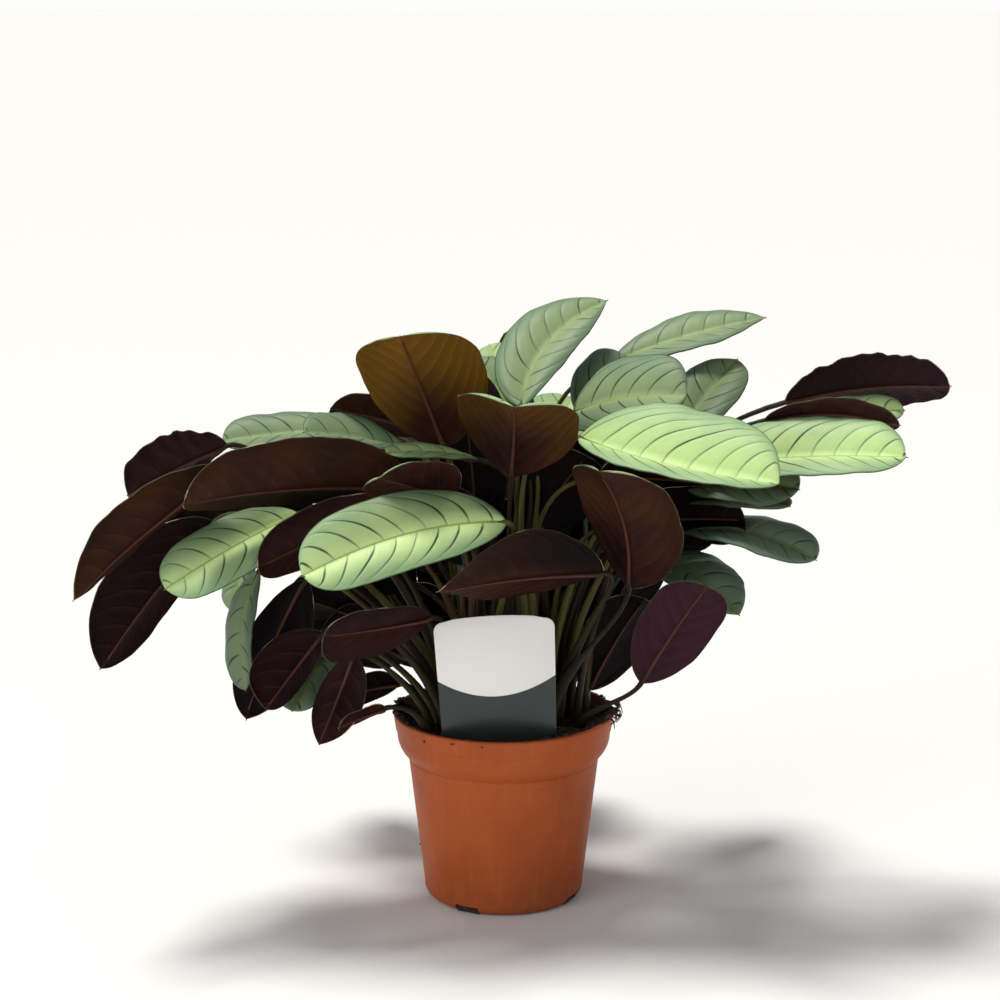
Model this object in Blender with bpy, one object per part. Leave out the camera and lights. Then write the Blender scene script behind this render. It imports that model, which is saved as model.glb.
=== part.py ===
"""A potted ctenanthe: a nursery pot, its soil, a plant tag and one solid for each leaf.

Run it with: blender --background --python part.py

Lengths are in millimetres until the meshes are made, which turns them into metres.
+Z is up, +Y points away from the viewer, and the origin is the middle of the pot's underside.
"""

import math
from dataclasses import dataclass

import bmesh
import bpy
import numpy as np

MM = 0.001
GAP = 0.3

# Pot: radii and heights of the outside, from the ground up
RIM_RADIUS = 60.0
POT_HEIGHT = 103.0
LIP_HEIGHT = 6.0
LIP_STEP = 1.6
BAND_TOP_RADIUS = 58.4
BAND_FOOT_RADIUS = 57.4
BAND_FOOT_HEIGHT = 85.0
CHAMFER_FOOT_HEIGHT = 79.0
BODY_TOP_RADIUS = 51.8
BODY_FOOT_RADIUS = 43.2
FOOT_ROUNDING = 5.0
WALL = 1.3
FLOOR = 1.6
POT_SIDES = 40
NOTCH_WIDTH = 14.0
NOTCH_HEIGHT = 4.4
NOTCH_INNER_RADIUS = 34.0
NOTCH_ANGLES = (-28.0, 62.0, 152.0, 242.0)

# Soil
SOIL_TOP = 97.0
SOIL_BOTTOM = FLOOR + GAP

# Plant tag: a thin card whose narrow foot stands in the soil
TAG_TOP_WIDTH = 63.0
TAG_FOOT_WIDTH = 60.0
TAG_STAKE_WIDTH = 20.0
TAG_THICKNESS = 0.8
TAG_SHOULDER = 101.0
TAG_HEIGHT = 165.0
TAG_CROWN = 2.4
TAG_CORNER = 5.0
TAG_DEPTH = 62.0
TAG_CENTRE = (-2.0, -44.0)
TAG_LEAN = 2.8

# Leaf sections: a hexagon on the stalk that flattens into the blade
STALK_RADIUS = 1.15
SHEATH_RADIUS = 2.0
SHEATH_END = 0.6
KNEE_RADIUS = 1.5
MIDRIB_THICKNESS = 1.5
MARGIN_THICKNESS = 0.6
STALK_RISE = 0.5
STALK_STATIONS = (0.0, 0.16, 0.36, 0.58, 0.8, 0.93)
BLADE_STATIONS = (0.0, 0.04, 0.11, 0.22, 0.36, 0.52, 0.68, 0.81, 0.91, 0.965, 1.0)
ROUND_END = 0.985
SPUR_HALF_WIDTH = 0.5


@dataclass(frozen=True)
class Leaf:
    """One leaf, from the soil to its tip, in millimetres.

    root is where the stalk leaves the soil, base and tip are the ends of the blade.
    face is the direction that the upper side looks to.
    arch bows the midrib towards the upper side, sweep bows it to the blade's right.
    fold is the angle in degrees by which each half rises from flat.
    point is how pointed the tip's end is, from 0 for a blunt oblong to 1.
    lead is how far the stalk runs in line with the blade, as a share of its length.
    skew makes the right half wider and the left half narrower by that share.
    widest is where along the midrib the blade is widest.
    """

    name: str
    root: tuple
    base: tuple
    tip: tuple
    width: float
    face: tuple
    arch: float = 0.0
    sweep: float = 0.0
    fold: float = 8.0
    point: float = 0.0
    lead: float = 0.35
    skew: float = 0.0
    widest: float = 0.52


LEAVES = (
    # Front of the plant
    Leaf("leaf_front_left", (-10, -16), (1, -62, 221), (-100, -105, 203), 42, (0, -0.85, 0.5), 8, 5, 6,
         0, 0.12, skew=0.08),
    Leaf("leaf_front_right", (14, -20), (39, -38, 260), (137, -88, 246), 58, (0, -0.5, 0.87), 0, 5, 27,
         skew=-0.22, widest=0.46),
    Leaf("leaf_centre", (4, -12), (4, -26, 237), (5, -84, 284), 66, (0.2, 0.63, 0.78), 4, 0, 18),
    Leaf("leaf_centre_right", (24, -26), (66, -24, 177), (47, -78, 251), 60, (0.5, 0.66, 0.55), 5, -4,
         16),
    Leaf("leaf_centre_low", (28, -12), (52, -36, 188), (-34, -84, 190), 54, (0, 0.85, 0.5), 3, 0, 24, 1,
         0.2),
    Leaf("leaf_top_left", (-10, -8), (-31, -8, 249), (-52, -60, 316), 65, (0, 0.75, 0.6), 4, 1, 8, 0.1,
         skew=-0.1, widest=0.6),
    Leaf("leaf_top", (6, 2), (9, -8, 271), (57, 50, 320), 40, (-0.15, -0.57, 0.8), 1, -12, 8, 0.6, 0.15,
         skew=-0.15),
    # Left side, upper layer
    Leaf("leaf_left_long", (-14, -20), (-46, -30, 231), (-161, -80, 234), 52, (0, 0.8, 0.6), 6, 0, 16,
         skew=-0.25),
    Leaf("leaf_left_drooping", (-30, 0), (-142, -40, 243), (-214, -95, 188), 42, (-0.25, 0.73, 0.65), 4,
         0, 24, 0.6, 0.2, skew=-0.12),
    Leaf("leaf_left_curled", (-22, -4), (-146, -6, 250), (-196, -30, 228), 42, (-0.2, 0.75, 0.6), 2, 0,
         20, 0, 0.1),
    Leaf("leaf_left_green_outer", (-20, 4), (-80, 26, 253), (-152, 16, 248), 34, (0, -0.4, 0.9), 1, 0,
         14),
    Leaf("leaf_left_green_inner", (-12, 0), (-53, 0, 248), (-104, -28, 261), 34, (0, -0.4, 0.9), 1, 0,
         18),
    Leaf("leaf_left_folded", (-6, -6), (-26, -40, 230), (-62, -80, 248), 44, (0, 0.75, 0.6), 0, 0, 10),
    Leaf("leaf_left_edge", (-14, 10), (-14, -18, 245), (-61, -38, 252), 28, (0, -0.1, 1), 2, 0, 6),
    Leaf("leaf_left_behind_top", (-16, 18), (-42, 12, 254), (-92, 0, 269), 34, (0, 0.7, 0.7), 2),
    # Left side, middle and lower layers
    Leaf("leaf_left_maroon", (-18, -24), (-50, -34, 219), (-126, -62, 197), 48, (0, 0.8, 0.6), 5, 0, 10),
    Leaf("leaf_left_green_low", (-26, -20), (-108, -20, 216), (-172, -72, 188), 37, (0, -0.75, 0.65), 4,
         0, 6),
    Leaf("leaf_left_dark_tail", (-28, -10), (-152, -22, 212), (-206, -72, 146), 46, (0.2, 0.75, 0.6), 4,
         0, 14, 0.5, 0.2, skew=-0.22),
    Leaf("leaf_left_hanging_green", (-32, -14), (-128, -30, 188), (-134, -50, 128), 23,
         (-0.6, -0.6, 0.3), 4, 5, 8, 0.3, 0.2),
    Leaf("leaf_left_hanging_pale", (-36, 7), (-132, 16, 201), (-146, 2, 157), 22, (-0.5, -0.6, 0.5), 3),
    Leaf("leaf_left_hanging_dark", (-30, -22), (-104, -20, 180), (-135, -46, 111), 37, (0.5, 0.8, 0.3),
         3, -4, 10, 0.5, 0.2),
    Leaf("leaf_low_brown", (-30, -28), (-94, -40, 157), (-122, -72, 125), 29, (0.1, 0.95, 0.1), 3, 0, 16,
         0.4, skew=-0.4),
    Leaf("leaf_low_green", (-36, -8), (-92, -4, 138), (-112, -34, 112), 30, (-0.3, -0.6, 0.7), 3, 0, 6),
    Leaf("leaf_low_wide", (-24, -32), (-38, -40, 165), (-91, -86, 168), 34, (0, 0.95, 0.3), -1, 0, 6, 0,
         0.25, skew=0.25),
    Leaf("leaf_low_purple", (-38, -26), (-78, -41, 145), (-96, -60, 102), 27, (0.35, 0.93, 0), 2, 0, 14,
         0.7, 0.1),
    Leaf("leaf_low_small", (-40, -32), (-62, -50, 119), (-85, -67, 114), 16, (0, 0.8, 0.6), 1, 0, 6),
    Leaf("leaf_low_edge", (-42, -8), (-56, -6, 119), (-83, -24, 118), 20, (0, 0.9, 0.3), 2, 0, 6),
    # Top, behind the centre
    Leaf("leaf_top_small_left", (2, 12), (5, 16, 266), (-16, 46, 287), 24, (-0.2, -0.7, 0.7), 2),
    Leaf("leaf_top_small_right", (4, 18), (8, 28, 262), (-8, 62, 294), 24, (0, -0.8, 0.6), 2, 0, 8, 0,
         0.15),
    Leaf("leaf_top_small_purple", (10, 26), (14, 64, 268), (0, 86, 297), 24, (0, 0.7, 0.5), 2),
    Leaf("leaf_top_violet", (-6, 4), (-1, 8, 260), (-31, 12, 286), 28, (0, 0.8, 0.6), 2),
    # Right side, upper layer
    Leaf("leaf_right_top", (26, 18), (61, 54, 286), (145, 62, 309), 36, (0, -0.35, 0.94), 2, 0, 12, 0.7),
    Leaf("leaf_right_grey", (18, 20), (41, 30, 260), (70, 42, 289), 38, (-0.3, -0.75, 0.55), 2),
    Leaf("leaf_right_hump", (16, -4), (37, 8, 265), (95, -28, 280), 52, (0, -0.7, 0.7), 6, 0, 12, 0,
         0.15),
    Leaf("leaf_right_olive", (22, 8), (90, 4, 250), (129, 55, 287), 38, (-0.1, -0.55, 0.83), 3, 0, 10,
         0.6, 0.15),
    Leaf("leaf_right_bright", (24, -8), (100, -20, 241), (204, -60, 254), 48, (0, -0.55, 0.83), 4, 0, 18,
         skew=-0.05),
    Leaf("leaf_right_purple", (26, 12), (151, 18, 269), (236, -2, 281), 44, (0, 0.75, 0.65), 5, 0, 12),
    Leaf("leaf_right_brown", (30, 4), (136, -16, 265), (204, -36, 266), 30, (0, 0.6, 0.8), 6),
    Leaf("leaf_right_green_tip", (34, 16), (152, 10, 258), (212, -2, 268), 27, (0, -0.5, 0.85), 3),
    # Right side, lower layers
    Leaf("leaf_right_pale_under", (31, -3), (95, -14, 231), (152, -44, 234), 36, (0, -0.5, 0.85), 3, 0,
         8, 0, 0.15),
    Leaf("leaf_right_thin", (45, 6), (98, -16, 221), (147, -48, 226), 28, (0, -0.1, 1), 2, 0, 6),
    Leaf("leaf_right_teal", (40, -8), (96, -10, 204), (161, -50, 198), 38, (0, -0.25, 0.97), 7),
    Leaf("leaf_right_low_teal", (36, 2), (81, 14, 186), (123, -40, 166), 36, (0.2, -0.6, 0.75), 6, 0, 8,
         0.5),
    Leaf("leaf_right_low_maroon", (40, -18), (73, -27, 126), (104, -62, 188), 39, (0.2, 0.85, 0.45), 4),
    # Dark leaves inside the bush
    Leaf("leaf_inner_centre", (10, 32), (20, 41, 190), (-10, 48, 236), 40, (0.2, 0.9, 0.3), 3),
    # Back of the plant
    Leaf("leaf_back_left", (-22, 20), (-64, 52, 226), (-150, 92, 206), 46, (-0.2, 0.5, 0.85), 8, 0, 10),
    Leaf("leaf_back_centre", (-6, 26), (-22, 68, 228), (-56, 150, 206), 48, (0, 0.5, 0.87), 10, 0, 12),
    Leaf("leaf_back_right", (26, 30), (56, 62, 224), (128, 116, 212), 46, (0.3, 0.4, 0.87), 8, 0, 10, 0,
         0.15),
    Leaf("leaf_back_upright", (2, 40), (24, 84, 226), (40, 124, 254), 44, (0, -0.6, 0.8), 3, 0, 10),
    Leaf("leaf_back_low_left", (-24, 30), (-60, 70, 164), (-112, 128, 136), 42, (-0.3, 0.5, 0.8), 8, 0,
         10),
    Leaf("leaf_back_low_centre", (-8, 46), (6, 82, 162), (20, 160, 128), 44, (0, 0.55, 0.83), 9, 0, 10),
    Leaf("leaf_back_low_right", (34, 38), (68, 60, 166), (136, 100, 144), 42, (0.3, 0.4, 0.87), 8, 0,
         10),
    Leaf("leaf_back_fill_left", (-28, 26), (-52, 44, 196), (-116, 60, 168), 46, (0.1, 0.85, 0.5), 4),
    Leaf("leaf_back_fill_right", (32, 24), (54, 42, 204), (116, 56, 196), 48, (0, 0.85, 0.5), 4),
)


def unit(vector):
    """A vector's direction."""
    return vector / np.linalg.norm(vector)


def blade_axes(leaf):
    """The blade's directions at its chord: along it, out of its upper side, and to its right."""
    along = unit(np.array(leaf.tip, float) - np.array(leaf.base, float))
    face = np.array(leaf.face, float)
    up = unit(face - along * np.dot(face, along))
    return along, up, np.cross(along, up)


def midrib(leaf, t):
    """The point of the midrib at t, from 0 at the blade's base to 1 at its tip."""
    _, up, right = blade_axes(leaf)
    base = np.array(leaf.base, float)
    bow = 4.0 * t * (1.0 - t)
    return base + (np.array(leaf.tip, float) - base) * t + (up * leaf.arch + right * leaf.sweep) * bow


def midrib_direction(leaf, t):
    """The midrib's direction at t."""
    step = 0.01
    return unit(midrib(leaf, t + step) - midrib(leaf, t - step))


def stalk(leaf, t):
    """The point of the stalk at t, from 0 at the soil to 1 at the blade's base."""
    root = np.array((*leaf.root, SOIL_TOP + GAP), float)
    base = np.array(leaf.base, float)
    rise = np.array((0.0, 0.0, max(base[2] - root[2], 20.0)))
    length = np.linalg.norm(base - root)
    first = root + rise * STALK_RISE
    second = base - midrib_direction(leaf, 0.0) * length * leaf.lead
    return (
        root * (1 - t) ** 3
        + first * 3 * t * (1 - t) ** 2
        + second * 3 * t**2 * (1 - t)
        + base * t**3
    )


def half_width(leaf, t, side):
    """The distance from the midrib to the margin at t: a full oblong with a small spur.

    side is 1 for the right half and -1 for the left one.
    """
    if t >= ROUND_END:
        return SPUR_HALF_WIDTH * (1.0 if t < 1.0 else 0.6)
    s = t / ROUND_END
    if s < leaf.widest:
        share = (1.0 - (1.0 - s / leaf.widest) ** 2.0) ** 0.66
    else:
        past = (s - leaf.widest) / (1.0 - leaf.widest)
        share = (1.0 - past ** (3.4 - 2.0 * leaf.point)) ** (0.5 + 0.5 * leaf.point)
    return max(KNEE_RADIUS, leaf.width / 2 * share * (1.0 + leaf.skew * side))


def stalk_radius(t):
    """The stalk's radius at t: a sheath at the soil, a thin stalk, and a knee below the blade."""
    sheath = min(1.0, max(0.0, (SHEATH_END - t) / 0.35))
    knee = max(0.0, (t - 0.85) / 0.15)
    return STALK_RADIUS + (SHEATH_RADIUS - STALK_RADIUS) * sheath + (KNEE_RADIUS - STALK_RADIUS) * knee


def hexagon(centre, right, up, radius):
    """A stalk's section, in the order of a blade's section."""
    half, side = radius * 0.5, radius * 0.866
    return [
        centre - right * side + up * half,
        centre + up * radius,
        centre + right * side + up * half,
        centre + right * side - up * half,
        centre - up * radius,
        centre - right * side - up * half,
    ]


def blade_section(leaf, t):
    """A blade's section: the two margins and the midrib, above and below."""
    centre = midrib(leaf, t)
    direction = midrib_direction(leaf, t)
    _, face, _ = blade_axes(leaf)
    up = unit(face - direction * np.dot(face, direction))
    right = np.cross(direction, up)
    left_wide, right_wide = half_width(leaf, t, -1), half_width(leaf, t, 1)
    if max(left_wide, right_wide) <= KNEE_RADIUS and t < 0.5:
        return hexagon(centre, right, up, KNEE_RADIUS)
    fold = math.radians(leaf.fold)
    margin = up * MARGIN_THICKNESS / 2
    middle = up * (MIDRIB_THICKNESS * (1.0 - 0.6 * t)) / 2
    left_edge = centre + (up * math.sin(fold) - right * math.cos(fold)) * left_wide
    right_edge = centre + (up * math.sin(fold) + right * math.cos(fold)) * right_wide
    return [
        left_edge + margin,
        centre + middle,
        right_edge + margin,
        right_edge - margin,
        centre - middle,
        left_edge - margin,
    ]


def leaf_sections(leaf):
    """All sections of a leaf, from the soil to the tip."""
    stalk_points = [stalk(leaf, t) for t in STALK_STATIONS]
    directions = [unit(stalk(leaf, t + 0.01) - stalk(leaf, t - 0.01)) for t in STALK_STATIONS]
    _, _, right = blade_axes(leaf)
    sections = []
    for t, point, direction in reversed(list(zip(STALK_STATIONS, stalk_points, directions))):
        right = unit(right - direction * np.dot(right, direction))
        up = np.cross(right, direction)
        sections.append(hexagon(point, right, up, stalk_radius(t)))
    sections.reverse()
    sections += [blade_section(leaf, t) for t in BLADE_STATIONS]
    return sections


def material(name, colour, roughness):
    """A Principled material of one colour."""
    made = bpy.data.materials.new(name)
    made.use_nodes = True
    shader = made.node_tree.nodes["Principled BSDF"]
    shader.inputs["Base Color"].default_value = (*colour, 1.0)
    shader.inputs["Roughness"].default_value = roughness
    shader.inputs["Metallic"].default_value = 0.0
    return made


def add_object(name, bm, surface):
    """Turns a bmesh in millimetres into an object in metres."""
    bmesh.ops.scale(bm, vec=(MM, MM, MM), verts=bm.verts)
    bmesh.ops.recalc_face_normals(bm, faces=bm.faces)
    mesh = bpy.data.meshes.new(name)
    bm.to_mesh(mesh)
    bm.free()
    mesh.materials.append(surface)
    mesh.shade_smooth()
    mesh.set_sharp_from_angle(angle=math.radians(40))
    made = bpy.data.objects.new(name, mesh)
    bpy.context.scene.collection.objects.link(made)
    return made


def turned(profile, sides):
    """A bmesh turned about Z from a profile of radius and height, whose ends lie on the axis."""
    bm = bmesh.new()
    verts = [bm.verts.new((radius, 0.0, height)) for radius, height in profile]
    edges = [bm.edges.new(pair) for pair in zip(verts, verts[1:])]
    bmesh.ops.spin(
        bm,
        geom=verts + edges,
        cent=(0.0, 0.0, 0.0),
        axis=(0.0, 0.0, 1.0),
        angle=math.tau,
        steps=sides,
        use_merge=True,
    )
    bmesh.ops.remove_doubles(bm, verts=bm.verts, dist=0.001)
    return bm


def wall_profile(inset):
    """The pot's outside from the foot to the lip, moved inwards by inset."""
    foot = BODY_FOOT_RADIUS - inset
    round_steps = 4
    rounding = [
        (
            foot - FOOT_ROUNDING * (1 - math.sin(math.pi / 2 * i / round_steps)),
            inset + FOOT_ROUNDING * (1 - math.cos(math.pi / 2 * i / round_steps)),
        )
        for i in range(round_steps + 1)
    ]
    return rounding + [
        (BODY_TOP_RADIUS - inset, CHAMFER_FOOT_HEIGHT - 1.0),
        (BODY_TOP_RADIUS + 0.4 - inset, CHAMFER_FOOT_HEIGHT),
        (BAND_FOOT_RADIUS - inset, BAND_FOOT_HEIGHT),
        (BAND_TOP_RADIUS - inset, POT_HEIGHT - LIP_HEIGHT),
    ]


def pot_profile():
    """The pot's section: out along the ground, up the outside, over the lip, down the inside."""
    outside = wall_profile(0.0)
    lip = [
        (RIM_RADIUS, POT_HEIGHT - LIP_HEIGHT + LIP_STEP / 2),
        (RIM_RADIUS, POT_HEIGHT - 0.6),
        (RIM_RADIUS - 0.6, POT_HEIGHT),
        (BAND_TOP_RADIUS - WALL, POT_HEIGHT),
    ]
    inside = [(radius, max(height, FLOOR)) for radius, height in reversed(wall_profile(WALL)[:-1])]
    return [(0.0, 0.0)] + outside + lip + inside + [(0.0, FLOOR)]


def soil_profile():
    """The soil fills the pot's inside, a gap away from its wall."""
    inside = [(radius, max(height, SOIL_BOTTOM)) for radius, height in wall_profile(WALL + GAP)[:-1]]
    top_share = (SOIL_TOP - BAND_FOOT_HEIGHT) / (POT_HEIGHT - BAND_FOOT_HEIGHT)
    top_radius = BAND_FOOT_RADIUS + (BAND_TOP_RADIUS - BAND_FOOT_RADIUS) * top_share - WALL - GAP
    return [(0.0, SOIL_BOTTOM)] + inside + [(top_radius, SOIL_TOP), (0.0, SOIL_TOP)]


def add_cutter(name, centre, size, turn):
    """A box that cuts its neighbour and isn't part of the object. turn is about Z."""
    bm = bmesh.new()
    bmesh.ops.create_cube(bm, size=1.0)
    bmesh.ops.scale(bm, vec=size, verts=bm.verts)
    made = add_object(name, bm, bpy.data.materials["guide"])
    made.location = [value * MM for value in centre]
    made.rotation_euler = turn
    made.hide_render = True
    made.display_type = "WIRE"
    return made


def cut(target, cutter):
    """Cuts one object with another."""
    modifier = target.modifiers.new(cutter.name, "BOOLEAN")
    modifier.operation = "DIFFERENCE"
    modifier.solver = "EXACT"
    modifier.object = cutter


def add_pot():
    """The pot, with a drain notch through its foot in four places."""
    pot = add_object("pot", turned(pot_profile(), POT_SIDES), material("pot", (0.45, 0.16, 0.07), 0.45))
    depth = RIM_RADIUS - NOTCH_INNER_RADIUS
    middle = NOTCH_INNER_RADIUS + depth / 2
    for index, degrees in enumerate(NOTCH_ANGLES):
        angle = math.radians(degrees)
        centre = (math.sin(angle) * middle, -math.cos(angle) * middle, 0.0)
        size = (NOTCH_WIDTH, depth, NOTCH_HEIGHT * 2)
        cut(pot, add_cutter(f"notch_{index}", centre, size, (0.0, 0.0, angle)))


def tag_turn():
    """The tag leans a little to the left."""
    return (0.0, -math.radians(TAG_LEAN), 0.0)


def add_soil():
    """The soil, with a pocket for the tag's foot."""
    soil = add_object("soil", turned(soil_profile(), POT_SIDES), material("soil", (0.03, 0.02, 0.015), 0.95))
    pocket_depth = SOIL_TOP - TAG_DEPTH
    centre = (*TAG_CENTRE, SOIL_TOP)
    size = (TAG_STAKE_WIDTH + 2 * GAP, TAG_THICKNESS + 2 * GAP, 2 * (pocket_depth + GAP))
    cut(soil, add_cutter("tag_pocket", centre, size, tag_turn()))


def tag_outline():
    """The tag's outline above and below the soil's top, which is its zero height."""
    foot, shoulder, top = TAG_DEPTH - SOIL_TOP, TAG_SHOULDER - SOIL_TOP, TAG_HEIGHT - SOIL_TOP
    half_top, half_foot, half_stake = TAG_TOP_WIDTH / 2, TAG_FOOT_WIDTH / 2, TAG_STAKE_WIDTH / 2
    taper = half_foot - half_stake
    right = [
        (half_stake, foot),
        (half_stake, 0.8),
        (half_stake + taper * 0.9, shoulder),
        (half_foot, shoulder + 1),
    ]
    for step in range(5):
        angle = math.pi / 2 * step / 4
        right.append(
            (
                half_top - TAG_CORNER * (1 - math.cos(angle)),
                top - TAG_CORNER * (1 - math.sin(angle)),
            )
        )
    crown = [(half_top * 0.45, top + TAG_CROWN * 0.8), (0.0, top + TAG_CROWN)]
    outline = right + crown
    return outline + [(-x, z) for x, z in reversed(outline) if x > 0]


def add_tag():
    """The plant tag, cut from sheet and stood in the soil near the front of the rim."""
    bm = bmesh.new()
    front = [bm.verts.new((x, -TAG_THICKNESS / 2, z)) for x, z in tag_outline()]
    face = bm.faces.new(front)
    moved = bmesh.ops.extrude_face_region(bm, geom=[face])["geom"]
    back = [item for item in moved if isinstance(item, bmesh.types.BMVert)]
    bmesh.ops.translate(bm, vec=(0.0, TAG_THICKNESS, 0.0), verts=back)
    tag = add_object("plant_tag", bm, material("plant_tag", (0.75, 0.74, 0.72), 0.4))
    tag.location = (TAG_CENTRE[0] * MM, TAG_CENTRE[1] * MM, SOIL_TOP * MM)
    tag.rotation_euler = tag_turn()


def add_leaf(leaf, surface):
    """One leaf: its sections joined into a closed body."""
    bm = bmesh.new()
    rings = [[bm.verts.new(point) for point in section] for section in leaf_sections(leaf)]
    for low, high in zip(rings, rings[1:]):
        for i in range(len(low)):
            j = (i + 1) % len(low)
            bm.faces.new((low[i], low[j], high[j], high[i]))
    bm.faces.new(reversed(rings[0]))
    bm.faces.new(rings[-1])
    add_object(leaf.name, bm, surface)


def main():
    """Builds the whole object."""
    for old in list(bpy.data.objects):
        bpy.data.objects.remove(old)
    material("guide", (0.8, 0.1, 0.8), 0.5)
    add_pot()
    add_soil()
    add_tag()
    upper = material("leaf_green", (0.35, 0.5, 0.25), 0.5)
    under = material("leaf_maroon", (0.12, 0.04, 0.05), 0.5)
    for leaf in LEAVES:
        shows_underside = leaf.face[1] > 0
        add_leaf(leaf, under if shows_underside else upper)


if __name__ == "__main__":
    main()
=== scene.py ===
"""A potted ctenanthe: fine leaves, pot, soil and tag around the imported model.

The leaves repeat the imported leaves' spines with curved, veined blades. Sizes in the leaf
table are in millimetres and become metres where a mesh is made. +Z is up, +Y points away
from the camera, and the origin is the middle of the pot's underside.
"""

import logging
import math
import random
from dataclasses import dataclass, field
from enum import Enum
from typing import Any, Callable, Iterable, Sequence

import bmesh
import bpy
import numpy as np
from mathutils import Matrix, Vector, noise


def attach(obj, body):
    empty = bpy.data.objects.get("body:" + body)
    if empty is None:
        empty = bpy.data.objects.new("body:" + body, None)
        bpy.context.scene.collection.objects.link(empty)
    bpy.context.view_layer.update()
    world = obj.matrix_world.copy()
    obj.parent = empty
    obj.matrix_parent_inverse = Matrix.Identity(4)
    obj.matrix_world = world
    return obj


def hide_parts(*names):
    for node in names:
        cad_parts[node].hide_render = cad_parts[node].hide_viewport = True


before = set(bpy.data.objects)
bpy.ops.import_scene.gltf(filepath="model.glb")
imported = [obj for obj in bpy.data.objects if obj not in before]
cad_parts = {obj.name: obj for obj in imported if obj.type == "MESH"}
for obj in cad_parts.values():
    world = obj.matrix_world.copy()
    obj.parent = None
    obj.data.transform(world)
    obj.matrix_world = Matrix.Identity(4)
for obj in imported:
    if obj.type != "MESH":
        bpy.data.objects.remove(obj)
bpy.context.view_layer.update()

MM = 0.001
CM = 0.1
SOIL_TOP = 97.0
WELD = 1e-6
WIDE_ROUNDING = 2.0
FINE_STEPS = 7
COARSE_STEPS = 3
RANGE_ENDS = ("From Min", "From Max", "To Min", "To Max")

Triple = tuple[float, float, float]
Colour = Triple
log = logging.getLogger("ctenanthe")


# Shader expressions


def maths_method(operation: str, reflected: bool = False) -> Callable[..., "Socket"]:
    """Makes a method of Socket that adds one Math node.

    Args:
        operation: the Math node's operation.
        reflected: whether the other value comes before the socket.

    Returns:
        The method.
    """

    def method(self: "Socket", *others: Any) -> "Socket":
        """Adds the node on this socket and the other values."""
        values = (*others, self) if reflected else (self, *others)
        return self.tree.maths(operation, *values)

    return method


class Socket:
    """A number or colour in a node tree, on which Python's operators add nodes.

    over is 1 where the socket is above a limit, else 0. sine takes radians.
    """

    def __init__(self, tree: "Tree", link: bpy.types.NodeSocket) -> None:
        """Wraps one output socket of a tree."""
        self.tree = tree
        self.link = link

    __add__ = __radd__ = maths_method("ADD")
    __mul__ = __rmul__ = maths_method("MULTIPLY")
    __sub__ = maths_method("SUBTRACT")
    __rsub__ = maths_method("SUBTRACT", reflected=True)
    __truediv__ = maths_method("DIVIDE")
    __pow__ = maths_method("POWER")
    __abs__ = maths_method("ABSOLUTE")
    over = maths_method("GREATER_THAN")
    floor = maths_method("FLOOR")
    fraction = maths_method("FRACT")
    sine = maths_method("SINE")

    def smooth(self, low: float, high: float) -> "Socket":
        """Rises smoothly from 0 at low to 1 at high, or falls where high is the smaller.

        Args:
            low: the value that gives 0.
            high: the value that gives 1.

        Returns:
            The share between the two, from 0 to 1.
        """
        ends = (low, high, 0.0, 1.0) if low < high else (high, low, 1.0, 0.0)
        inputs = {"Value": self, **dict(zip(RANGE_ENDS, ends))}
        return self.tree.node("ShaderNodeMapRange", {"interpolation_type": "SMOOTHSTEP"}, inputs)


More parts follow.
